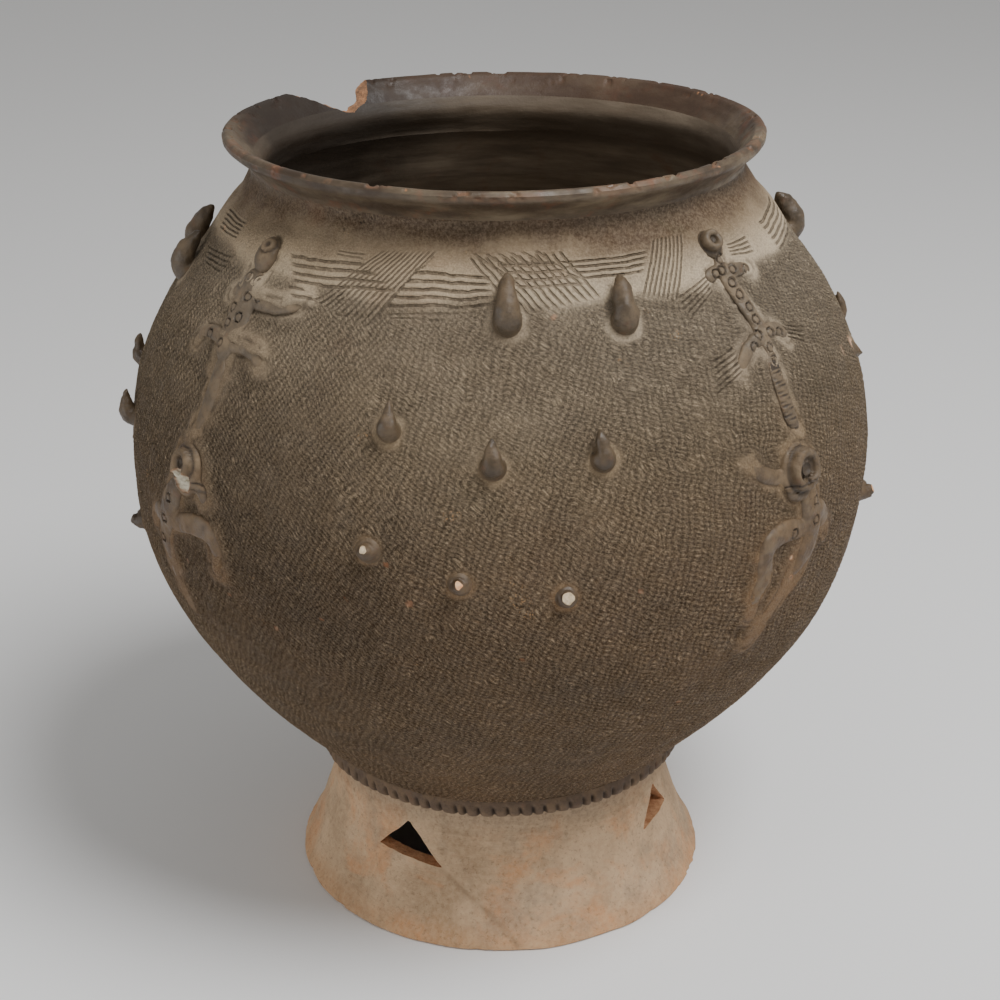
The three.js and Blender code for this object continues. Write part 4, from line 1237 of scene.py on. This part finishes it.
def make_neck():
    """The neck and flared lip. A piece of the lip is broken out at the back."""
    start = outline(NECK_START)[0]
    start_inside = outline(NECK_START + LAP, -wall_thickness(NECK_START + LAP))[0]
    outside = smooth_line([start, *LIP_OUTSIDE[1:]], FINE_ROW * 1.1)
    over = smooth_line(LIP_TOP, FINE_ROW * 0.8)[1:]
    inside = smooth_line([*LIP_INSIDE, start_inside], FINE_ROW * 1.9)[1:]
    bottom = between(inside[-1], start, 3.2)[1:]
    loop = np.array([*outside, *over, *inside, *bottom])
    skin = spun_skin("neck_and_lip", loop)
    points = points_of(skin)
    row = np.rint(marks_of(skin, "row")).astype(int)
    skin.data.attributes.remove(skin.data.attributes["row"])
    ahead, behind = np.roll(loop, -1, 0), np.roll(loop, 1, 0)
    run = (ahead - behind) / np.linalg.norm(ahead - behind, axis=1, keepdims=True)
    out2 = np.stack([run[:, 1], -run[:, 0]], 1)
    out2[0] = out2[1]
    first_in = len(outside) + len(over) + len(inside) - 1
    out2[first_in] = out2[first_in - 1]
    out2 = out2[row]
    azimuth = np.degrees(np.arctan2(points[:, 0], -points[:, 1]))
    turn = np.radians(azimuth)
    out = np.stack([np.sin(turn) * out2[:, 0], -np.cos(turn) * out2[:, 0], out2[:, 1]], 1)
    radius = np.hypot(points[:, 0], points[:, 1])
    lower = row < len(outside)
    up = np.where(points[:, 2] < 420, up_the_wall(points[:, 2]), up_the_wall(420) + points[:, 2] - 420)
    relief, marks = wall_face(points, azimuth, up, radius)
    fade = np.where(lower, 1 - smooth_step(points[:, 2], 412, 424), 0.0)
    drawn = points * np.array([0.1, 0.1, 1.0])
    turned_lines = 0.3 * lumps(points, 40, 85) + 0.12 * lumps(drawn, 1.6, 86) + 0.1 * lumps(points, 9, 87)
    worn, shows = lip_wear(points)
    total = relief * fade + (1 - fade) * turned_lines - worn
    ends = (row == 0) | (row == first_in)
    joint = row > first_in
    total = np.where(row == 0, relief, total)
    total = np.where(row == first_in, -inside_face(points) * -1, total)
    total[joint] = 0
    moved = out_of_round(points)
    moved += out * total[:, None]
    move_points(skin, moved)
    for key in ("printed", "dust", "groove_and_shade", "comb_part", "comb_part_2"):
        mark(skin, key, marks[key] * fade)
    for key in ("comb_line", "comb_line_2"):
        mark(skin, key, marks[key])
    mark(skin, "worn", np.where(lower | ~joint, shows, 0))
    red = smooth_step(lumps(points, 2.2, 88) + 0.3 * lumps(points, 12, 89), 0.95, 1.05)
    red *= smooth_step(points[:, 2], 433, 438)
    mark(skin, "bare", red * 0.7)
    mark(skin, "pale", np.zeros(len(points)))
    add_bead_map(skin, (azimuth, up, radius, bead_warp(points)))
    height = face_first(skin, points[:, 2])
    lowest_row = face_smallest(skin, row)
    is_outside = lowest_row < len(outside) - 1
    slot = np.where(is_outside & (height < 424), 0, np.where(is_outside | (height > 426), 1, 2))
    slot = np.where(lowest_row >= len(outside) - 1, np.where(height > 428, 1, 2), slot)
    finish_faces(skin, [NECK_CLAY, LIP_CLAY, SOOTY_INSIDE], slot)
    break_out(skin, radial_cutter(CHIP_OUTLINE, CHIP_AZIMUTH, 108, 50, 0.8, BREAK_CLAY))
    settle(skin, "neck_clay", "neck_and_lip")


# The foot, the cordon that hides its joint, and the coil inside

def make_foot():
    """The foot ring, thrown out to its standing edge, with windows cut by knife."""
    top_outer = outline(3.1, 0.5)[0]
    top_inner = outline(2.74, 0.5)[0]
    row = FINE_ROW * 1.5
    outside = smooth_line(FOOT_OUTSIDE, row)
    loop = np.array([
        *outside, *between(FOOT_OUTSIDE[-1], top_outer, row)[1:], *between(top_outer, top_inner, 2.5),
        *between(top_inner, FOOT_INSIDE[0], 3), *smooth_line(FOOT_INSIDE, 4)[:-1],
        *between(FOOT_INSIDE[-1], FOOT_OUTSIDE[0], 2.2),
    ])
    columns = COLUMNS // 2 + 90
    skin = spun_skin("foot_ring", loop, columns)
    points = points_of(skin)
    row = np.rint(marks_of(skin, "row")).astype(int)
    skin.data.attributes.remove(skin.data.attributes["row"])
    azimuth = np.degrees(np.arctan2(points[:, 0], -points[:, 1]))
    radius = np.hypot(points[:, 0], points[:, 1])
    out = np.stack([points[:, 0] / radius, points[:, 1] / radius, np.zeros(len(points))], 1)
    on_outside = row < len(outside)
    relief = 0.8 * lumps(points, 46, 91) + 0.4 * lumps(points, 17, 92) + 0.14 * lumps(points, 6, 93)
    wiped = points * np.array([0.2, 0.2, 1.0])
    relief += 0.16 * lumps(wiped, 3.2, 94)
    edge = 1 - smooth_step(points[:, 2], 0, 6)
    relief -= edge * 0.9 * smooth_step(lumps(points, 9, 95) + 0.4 * lumps(points, 3, 96), 0.35, 0.8)
    groove_and_shade = np.zeros(len(points))
    for path in (CRACK,):
        gap = np.full(len(points), 1e9)
        for start, end in zip(path, path[1:]):
            ax = np.radians(turn_between(azimuth, start[0])) * radius
            ay = points[:, 2] - start[1]
            bx = math.radians(end[0] - start[0]) * 108
            by = end[1] - start[1]
            t = np.clip((ax * bx + ay * by) / (bx * bx + by * by), 0, 1)
            gap = np.minimum(gap, np.hypot(ax - t * bx, ay - t * by))
        gap = gap + 0.5 * lumps(points, 5, 97)
        cut = np.exp(-(np.maximum(gap, 0) / 1.5) ** 2) * (0.7 + 0.4 * lumps(points, 6, 98))
        groove_and_shade = np.maximum(groove_and_shade, np.where(on_outside, cut, 0))
    relief -= 0.5 * groove_and_shade
    sway = np.where(points[:, 2] > 62, 0, 1)
    moved = points + out * (np.where(on_outside, relief, 0.5 * relief) * sway)[:, None]
    moved[:, 2] = np.maximum(moved[:, 2], 0)
    floor_edge = points[:, 2] < 1.5
    moved[floor_edge, 2] = np.maximum(0, points[floor_edge, 2] + 0.25 * lumps(points[floor_edge], 14, 99))
    move_points(skin, moved)
    mark(skin, "groove_and_shade", groove_and_shade)
    finish_faces(skin, [FOOT_CLAY])
    for azimuth_of_window, corners in WINDOWS:
        centre = np.mean(corners, axis=0)
        rounded = []
        for i in range(3):
            corner = np.array(corners[i], float)
            before, after = np.array(corners[i - 1], float), np.array(corners[(i + 1) % 3], float)
            rounded.append(corner + (before - corner) / np.linalg.norm(before - corner) * CORNER_START)
            rounded.append(corner + (centre - corner) / np.linalg.norm(centre - corner) * CORNER_IN)
            rounded.append(corner + (after - corner) / np.linalg.norm(after - corner) * CORNER_START)
        cutter = radial_cutter(rounded, azimuth_of_window, start=74, depth=56, rough=0.35, material=CUT_CLAY)
        break_out(skin, cutter)
    settle(skin, "foot_clay", "foot_ring")


def make_cordon():
    """The cordon, pressed over the joint of bowl and foot, with knife notches along its lower half."""
    seat = [outline(3.08, 0.4)[0], outline(3.44, 0.25)[0]]
    middle = [[103.2, 79.6], [106.6, 80.6], [108.3, 84], [107.9, 88], [107, 91.4]]
    face = smooth_line([seat[0], *middle, seat[1]], 1.5)
    back = between(seat[1], seat[0], 4)[1:]
    loop = np.array([*face, *back])
    columns = CORDON_NOTCHES * 14
    skin = spun_skin("notched_cordon", loop, columns)
    points = points_of(skin)
    skin.data.attributes.remove(skin.data.attributes["row"])
    azimuth = np.degrees(np.arctan2(points[:, 0], -points[:, 1]))
    radius = np.hypot(points[:, 0], points[:, 1])
    out = np.stack([points[:, 0] / radius, points[:, 1] / radius, np.zeros(len(points))], 1)
    pitch = 360 / CORDON_NOTCHES
    stray = RANDOM_TABLE[np.rint((azimuth + 180) / pitch).astype(int) + 300] * 0.16
    lean = (points[:, 2] - 83) * 0.14
    phase = ((azimuth + 180) / pitch + stray + lean / 7.2 + 0.5) % 1 - 0.5
    slit = np.exp(-(phase * 7.2 / 1.0) ** 2) * (1 - smooth_step(points[:, 2], 84.5, 88.5))
    slit *= 0.75 + 0.3 * lumps(points, 9, 101)
    free = smooth_step(radius, 101.5, 105)
    relief = 0.5 * lumps(points, 26, 102) + 0.25 * lumps(points, 8, 103) + 0.1 * lumps(points, 3, 104)
    puffed = 0.25 * np.cos(2 * math.pi * phase) * -1 * (1 - smooth_step(points[:, 2], 84.5, 88.5))
    moved = points + out * (free * (relief + puffed - 2.5 * slit))[:, None]
    move_points(skin, moved)
    # The notches are painted dark, as painted shade in them.
    mark(skin, "groove_and_shade", np.clip(1.25 * slit * free, 0, 1))
    mark(skin, "dust", np.zeros(len(points)))
    mark(skin, "bare", np.zeros(len(points)))
    mark(skin, "pale", np.zeros(len(points)))
    finish_faces(skin, [CORDON_CLAY])
    settle(skin, "base_clay", "notched_cordon")


def make_inner_coil():
    """The coil pressed into the corner between bowl and foot, seen only from below."""
    corners = [outline(2.66, 0.4)[0], outline(2.2, 0.4)[0], [80, 59.5], [87.6, 58.5]]
    loop = []
    for i in range(4):
        loop += between(corners[i], corners[(i + 1) % 4], 3)
    skin = spun_skin("inner_luting_coil", np.array(loop), 240)
    points = points_of(skin)
    skin.data.attributes.remove(skin.data.attributes["row"])
    low = 1 - smooth_step(points[:, 2], 59, 61.5)
    points[:, 2] += low * (0.5 * lumps(points, 12, 111) - 0.3)
    move_points(skin, points)
    mark(skin, "groove_and_shade", np.zeros(len(points)))
    finish_faces(skin, [FOOT_CLAY])
    settle(skin, "foot_clay", "inner_luting_coil")


# What is luted on the wall

def wall_frame(azimuth, height):
    """A place on the wall and the directions sideways and out of it."""
    station = np.interp(height, OUTLINE_TABLE[:, 1], STATIONS)
    (radius, z), (out_r, out_z) = (part for part in outline(station))
    turn = math.radians(azimuth)
    outwards = np.array([math.sin(turn), -math.cos(turn), 0])
    out = outwards * out_r + np.array([0, 0, out_z])
    place = outwards * radius + np.array([0, 0, z]) + out * hand_wave(azimuth, height)
    side = np.array([math.cos(turn), math.sin(turn), 0])
    return out_of_round(place[None])[0], side, out


def path_through(points, share):
    """Places at shares of a smooth path through points."""
    line = np.array(smooth_line(points, 0.4))
    length = np.concatenate([[0], np.cumsum(np.linalg.norm(np.diff(line, axis=0), axis=1))])
    at = share * length[-1]
    return np.stack([np.interp(at, length, line[:, k]) for k in range(3)], -1)


def share_of_steps(path, share):
    """Turns shares of a path's length into shares of its steps."""
    reach = np.concatenate([[0], np.cumsum(np.linalg.norm(np.diff(np.array(path), axis=0), axis=1))])
    return np.interp(share * reach[-1], reach, np.linspace(0, 1, len(path)))


def rolled_clay(name, path, widths, heights, out_of, segments, rings, flat_below, swell=1.0):
    """A rolled piece of clay: a ball drawn out along a path on the wall, with rounded ends."""
    start_piece()
    bpy.ops.mesh.primitive_uv_sphere_add(segments=segments, ring_count=rings, radius=0.001)
    piece = bpy.context.object
    piece.name = piece.data.name = name
    ball = points_of(piece)
    share = np.clip(0.5 + 0.5 * ball[:, 2], 0, 1)
    round_end = np.sqrt(np.clip(1 - ball[:, 2] ** 2, 1e-9, 1))
    square = np.maximum(1 - np.abs(ball[:, 2]) ** 6 + 1e-9, 0)
    fullness = np.where(round_end > 1e-4, np.sqrt(square) / round_end, 0)
    centre = path_through(path, share)
    ahead = path_through(path, np.clip(share + 0.01, 0, 1)) - path_through(path, np.clip(share - 0.01, 0, 1))
    ahead /= np.linalg.norm(ahead, axis=1, keepdims=True)
    out = out_of(centre)
    side = np.cross(ahead, out)
    side /= np.linalg.norm(side, axis=1, keepdims=True)
    out = np.cross(side, ahead)
    step = share_of_steps(path, share)
    wide = ball[:, 0] * fullness * along(widths, step)
    high = np.sign(ball[:, 1]) * np.abs(ball[:, 1] * fullness) ** swell * along(heights, step)
    high = np.maximum(high, flat_below)
    move_points(piece, centre + side * wide[:, None] + out * high[:, None])
    only(piece)
    bpy.ops.object.mode_set(mode="EDIT")
    bpy.ops.mesh.select_all(action="SELECT")
    bpy.ops.mesh.normals_make_consistent(inside=False)
    bpy.ops.object.mode_set(mode="OBJECT")
    return piece


def out_of_wall(places):
    """The direction out of the wall at places near it."""
    azimuth = np.arctan2(places[:, 0], -places[:, 1])
    radius = np.hypot(places[:, 0], places[:, 1])
    gaps = np.hypot(radius[:, None] - OUTLINE_TABLE[None, ::10, 0],
                    places[:, 2][:, None] - OUTLINE_TABLE[None, ::10, 1])
    out2 = OUTLINE_OUT[::10][np.argmin(gaps, 1)]
    return np.stack([np.sin(azimuth) * out2[:, 0], -np.cos(azimuth) * out2[:, 0], out2[:, 1]], 1)


def wall_coordinates(points):
    """Azimuth, length up the wall, radius there and lift off the wall of points near it."""
    azimuth = np.degrees(np.arctan2(points[:, 0], -points[:, 1]))
    radius = np.hypot(points[:, 0], points[:, 1])
    nearest = np.empty(len(points), int)
    for first in range(0, len(points), 4000):
        part = slice(first, first + 4000)
        gaps = np.hypot(radius[part][:, None] - OUTLINE_TABLE[None, ::5, 0],
                        points[part, 2][:, None] - OUTLINE_TABLE[None, ::5, 1])
        nearest[part] = np.argmin(gaps, 1) * 5
    base = OUTLINE_TABLE[nearest]
    lift = ((radius - base[:, 0]) * OUTLINE_OUT[nearest, 0]
            + (points[:, 2] - base[:, 1]) * OUTLINE_OUT[nearest, 1])
    return azimuth, OUTLINE_LENGTH[nearest], base[:, 0], lift - hand_wave(azimuth, base[:, 1])


def joined(name, parts):
    start_piece()
    for part in parts:
        part.select_set(True)
    bpy.context.view_layer.objects.active = parts[0]
    if len(parts) > 1:
        bpy.ops.object.join()
    whole = bpy.context.object
    whole.name = whole.data.name = name
    return whole


def clay_strip(path, form, turn):
    places = np.array([wall_frame(azimuth + turn, height)[0] for azimuth, height in path])
    rings = max(14, int(np.linalg.norm(np.diff(places, axis=0), axis=1).sum() / 1.3))
    return rolled_clay("strip", places, form[0], form[1], out_of_wall, 18, rings, -1.6, 0.62)


def clay_dome(head, turn):
    """The dome of a head, pressed on the wall."""
    place, side, out = wall_frame(head["at"][0] + turn, head["at"][1])
    start_piece()
    bpy.ops.mesh.primitive_uv_sphere_add(segments=32, ring_count=18, radius=0.001)
    dome = bpy.context.object
    ball = points_of(dome)
    ball[:, 2] = np.maximum(np.sign(ball[:, 2]) * np.abs(ball[:, 2]) ** 0.7, -0.25)
    upright = np.cross(out, side)
    move_points(dome, place + ball[:, :1] * head["width"] * side + ball[:, 1:2] * head["length"] * upright
                + ball[:, 2:] * head["height"] * out)
    return dome


def clay_coil(head, at, radius, tube, turn, turns=1.0):
    """A thin coil of clay laid round an eye, on the dome of the head."""
    place, side, out = wall_frame(at[0] + turn, at[1])
    upright = np.cross(out, side)
    centre, head_side, head_out = wall_frame(head["at"][0] + turn, head["at"][1])
    head_upright = np.cross(head_out, head_side)
    start_piece()
    bpy.ops.mesh.primitive_torus_add(major_segments=40, minor_segments=10, major_radius=radius * MM,
                                     minor_radius=tube * MM)
    coil = bpy.context.object
    ring = points_of(coil)
    flat = place + ring[:, :1] * side + ring[:, 1:2] * upright
    offset = flat - centre
    a = (offset @ head_side) / head["width"]
    b = (offset @ head_upright) / head["length"]
    top = head["height"] * np.sqrt(np.clip(1 - a * a - b * b, 0.05, 1))
    move_points(coil, flat + (ring[:, 2] + top + tube * 0.15)[:, None] * out)
    return coil


def shape_figure(piece, figure, turn, is_head):
    """Ring stamps, tail notches, breaks and finger marks on a figure, and its marks for the finish."""
    voxel = 0.55
    apply(piece, "REMESH", mode="VOXEL", voxel_size=voxel * MM)
    apply(piece, "SMOOTH", factor=0.5, iterations=3)
    points = points_of(piece)
    out = normals_of(piece)
    azimuth, up, radius, lift = wall_coordinates(points)
    upper = smooth_step(lift, 0.6, 1.8)
    relief = 0.42 * lumps(points, 7.5, 121) + 0.26 * lumps(points, 3.4, 122) + 0.1 * lumps(points, 1.6, 123)
    groove_and_shade = np.zeros(len(points))
    bare = np.zeros(len(points))
    pale = np.zeros(len(points))
    # The grooves of stamp rings, eyes, tail ticks and head bands are kept so they can be painted dark, as
    # painted shade in them.
    for number, (at, z) in enumerate(figure.get("stamps", [])):
        side = np.radians(turn_between(azimuth, at + turn)) * radius
        gap = np.hypot(side, up - up_the_wall(z))
        ring = np.exp(-((gap - 2.35) / 0.5) ** 2)
        rim = np.exp(-((gap - 3.2) / 0.6) ** 2)
        relief += (0.3 * rim - 1.1 * ring) * upper
        groove_and_shade = np.maximum(groove_and_shade, ring * upper)
    if is_head:
        at, z = figure["eye"]["at"]
        size, tube = figure["eye"]["radius"], figure["eye"]["tube"]
        side = np.radians(turn_between(azimuth, at + turn)) * radius
        gap = np.hypot(side, up - up_the_wall(z)) + 0.25 * lumps(points, 3, 129)
        ring = np.exp(-((gap - size) / (tube * 0.8)) ** 2)
        hole = 1 - smooth_step(gap, size - tube * 1.9, size - tube * 0.9)
        foot = np.exp(-((gap - size - tube * 1.5) / (tube * 0.5)) ** 2)
        relief += upper * tube * (0.55 * ring - 0.8 * hole - 0.45 * foot)
        groove_and_shade = np.maximum(groove_and_shade, upper * np.maximum(0.8 * hole, 0.75 * foot))
    if "ticks" in figure:
        gap, share = to_path(azimuth, up, radius, turned(figure["ticks"], turn))
        tick = np.cos(share * 2 * math.pi * 9.5) ** 8 * (gap < 4.2)
        relief -= 0.5 * tick * smooth_step(lift, 0.1, 0.8)
        groove_and_shade = np.maximum(groove_and_shade, 0.9 * tick * smooth_step(lift, 0.1, 0.8))
    if is_head and figure["head"]["width"] > 8:
        at, z = figure["head"]["at"]
        low = up_the_wall(z) - figure["head"]["length"] * 0.55
        for offset in (0, 3.4):
            band = np.exp(-((up - low - offset + 0.3 * lumps(points, 5, 124)) / 0.6) ** 2)
            relief -= 0.7 * band * upper
            groove_and_shade = np.maximum(groove_and_shade, band * upper * 0.8)
    if is_head and "break_at" in figure:
        at, z = figure["break_at"]
        side = np.radians(turn_between(azimuth, at + turn)) * radius
        gap = np.hypot(side, up - up_the_wall(z)) + 1.1 * lumps(points, 4, 125)
        torn = 1 - smooth_step(gap, 5, 6.6)
        relief -= torn * (1.2 + 0.6 * lumps(points, 2.2, 126))
        bare, pale = torn * upper, torn * 0.95
    move_points(piece, points + out * relief[:, None])
    mark(piece, "groove_and_shade", groove_and_shade)
    mark(piece, "bare", bare)
    mark(piece, "pale", pale)
    dust = smooth_step(lumps(points, 6, 127) + 0.5 * lumps(points, 2.5, 128), -0.4, 0.8)
    dust *= smooth_step(lift, 0.8, 2.4)
    # Painted shade: a dark line where the figure meets the wall.
    mark(piece, "groove_and_shade", np.maximum(groove_and_shade, 0.6 * (1 - smooth_step(lift, 0.1, 1.3))))
    mark(piece, "dust", dust)
    finish_faces(piece, [FIGURE_CLAY])


def make_figure(name, figure, leg_form, turn):
    head = [clay_dome(figure["head"], turn)]
    eye = figure["eye"]
    head.append(clay_coil(figure["head"], eye["at"], eye["radius"], eye["tube"], turn))
    if eye["radius"] > 4:
        head.append(clay_coil(figure["head"], eye["at"], eye["radius"] * 0.42, eye["tube"] * 0.75, turn))
    if "arm" in figure:
        head.append(clay_strip(figure["arm"], ARM_STRIP, turn))
    head = joined(f"{name}_head", head)
    shape_figure(head, figure, turn, True)
    settle(head, "relief_clay", f"{name}_head")
    body = [clay_strip(figure["spine"], spine_strip(figure), turn),
            clay_strip(figure["tail"], TAIL_STRIP, turn)]
    body += [clay_strip(leg, leg_form, turn) for leg in figure["legs"]]
    body = joined(f"{name}_body", body)
    shape_figure(body, figure, turn, False)
    settle(body, "relief_clay", f"{name}_body")


def make_figures():
    for place, lizard, creature, turn in FIGURES:
        make_figure(f"lizard_{place}", lizard, LEG_STRIP, turn)
        make_figure(f"creature_{place}", creature, CREATURE_LEG_STRIP, turn)


BROKEN_TIPS = {
    "spike_front_low_1": (0.8, TIP_CREAM), "spike_front_low_2": (1.2, TIP_ORANGE),
    "spike_front_low_3": (2.4, TIP_CREAM), "spike_right_low_1": (1.0, TIP_ORANGE),
    "spike_back_low_2": (1.6, TIP_CREAM), "spike_left_low_3": (1.2, TIP_ORANGE),
    "spike_right_middle_1": (0.9, TIP_ORANGE), "spike_back_low_3": (1.2, TIP_ORANGE),
}
BROKEN_FLUSH = "spike_right_middle_1"


def make_spikes():
    for number, (name, row, (azimuth, height)) in enumerate(all_spikes()):
        is_scar = name == BROKEN_FLUSH
        form = SPIKE_FORMS["scar" if is_scar else row]
        place, side, out = wall_frame(azimuth, height)
        upwards = np.cross(out, side)
        lean = RANDOM_TABLE[number * 3 + 900] * 1.2 - 0.8
        path = [place + out * step[0] + upwards * step[1] + side * lean * i / 4
                for i, step in enumerate(form["path"])]
        size = 1 + 0.08 * RANDOM_TABLE[number * 3 + 901]
        radii = [radius * size for radius in form["radii"]]
        spike = rolled_clay(name, path, radii, radii,
                            lambda centre: np.tile(side, (len(centre), 1)), 28, 40, -99)
        points = points_of(spike)
        normal = normals_of(spike)
        azimuths, up, radius, lift = wall_coordinates(points)
        relief = 0.7 * lumps(points, 6, 131) + 0.4 * lumps(points, 2.6, 132) + 0.15 * lumps(points, 1.3, 134)
        relief *= smooth_step(lift, 0, 4)
        move_points(spike, points + normal * relief[:, None])
        mark(spike, "groove_and_shade", np.zeros(len(points)))
        mark(spike, "bare", np.zeros(len(points)))
        mark(spike, "pale", np.zeros(len(points)))
        mark(spike, "dust", 0.5 * (1 - smooth_step(lift + 0.8 * lumps(points, 4, 133), 0.5, 3)))
        materials = [SPIKE_CLAY]
        if name in BROKEN_TIPS:
            taken, broken = BROKEN_TIPS[name]
            materials.append(broken)
            end = path[-1] - path[-2] + side * RANDOM_TABLE[number * 3 + 902] * 1.6
            end = end / np.linalg.norm(end)
            level = path[-1] - end * taken
            only(spike)
            bpy.ops.object.mode_set(mode="EDIT")
            bpy.ops.mesh.select_all(action="SELECT")
            bpy.ops.mesh.bisect(plane_co=tuple(level * MM), plane_no=tuple(end),
                                use_fill=True, clear_outer=True)
            bpy.ops.object.mode_set(mode="OBJECT")
        finish_faces(spike, materials)
        if name in BROKEN_TIPS:
            for face in spike.data.polygons:
                if face.normal.dot(Vector(end)) > 0.985 and len(face.vertices) > 6:
                    face.material_index = 1
        settle(spike, "relief_clay", name)


# Studio

# The camera: place in metres, tilt up from straight down in degrees, lens and sensor in mm
CAMERA_PLACE = (0, -1.0071, 0.6628)
CAMERA_TILT = 66.46
CAMERA_LENS = 69.30
CAMERA_SENSOR = 36
SKY_STRENGTH = 0.385


def make_studio():
    start_piece()
    bpy.ops.mesh.primitive_plane_add(size=12, location=(0, 0, 0))
    floor = bpy.context.object
    floor.name = "studio_floor"
    material, tree = new_finish("pale_floor")
    shader_of(tree).inputs["Base Color"].default_value = (0.86, 0.86, 0.86, 1)
    shader_of(tree).inputs["Roughness"].default_value = 0.9
    floor.data.materials.append(material)
    world = bpy.data.worlds.new("studio")
    bpy.context.scene.world = world
    world.use_nodes = True
    world.node_tree.nodes["Background"].inputs[0].default_value = (1.0, 0.985, 0.96, 1)
    world.node_tree.nodes["Background"].inputs[1].default_value = SKY_STRENGTH
    for name, place, size, power in (
        ("top_light", (0.9, -0.8, 2.2), 1.1, 58),
        ("left_light", (-1.9, -1.1, 0.35), 1.0, 13),
        ("right_light", (2.1, -0.6, 0.9), 1.2, 2),
    ):
        bpy.ops.object.light_add(type="AREA", location=place)
        light = bpy.context.object
        light.name = name
        light.data.energy = power
        light.data.shape = "DISK"
        light.data.size = size
        aim = Vector((0, 0, 0.25)) - Vector(place)
        light.rotation_euler = aim.to_track_quat("-Z", "Y").to_euler()
    bpy.ops.object.camera_add(location=CAMERA_PLACE, rotation=(math.radians(CAMERA_TILT), 0, 0))
    camera = bpy.context.object
    camera.data.lens = CAMERA_LENS
    camera.data.sensor_width = CAMERA_SENSOR
    bpy.context.scene.camera = camera


make_studio()
make_bottom()
make_courses()
make_neck()
make_foot()
make_cordon()
make_inner_coil()
make_spikes()
make_figures()
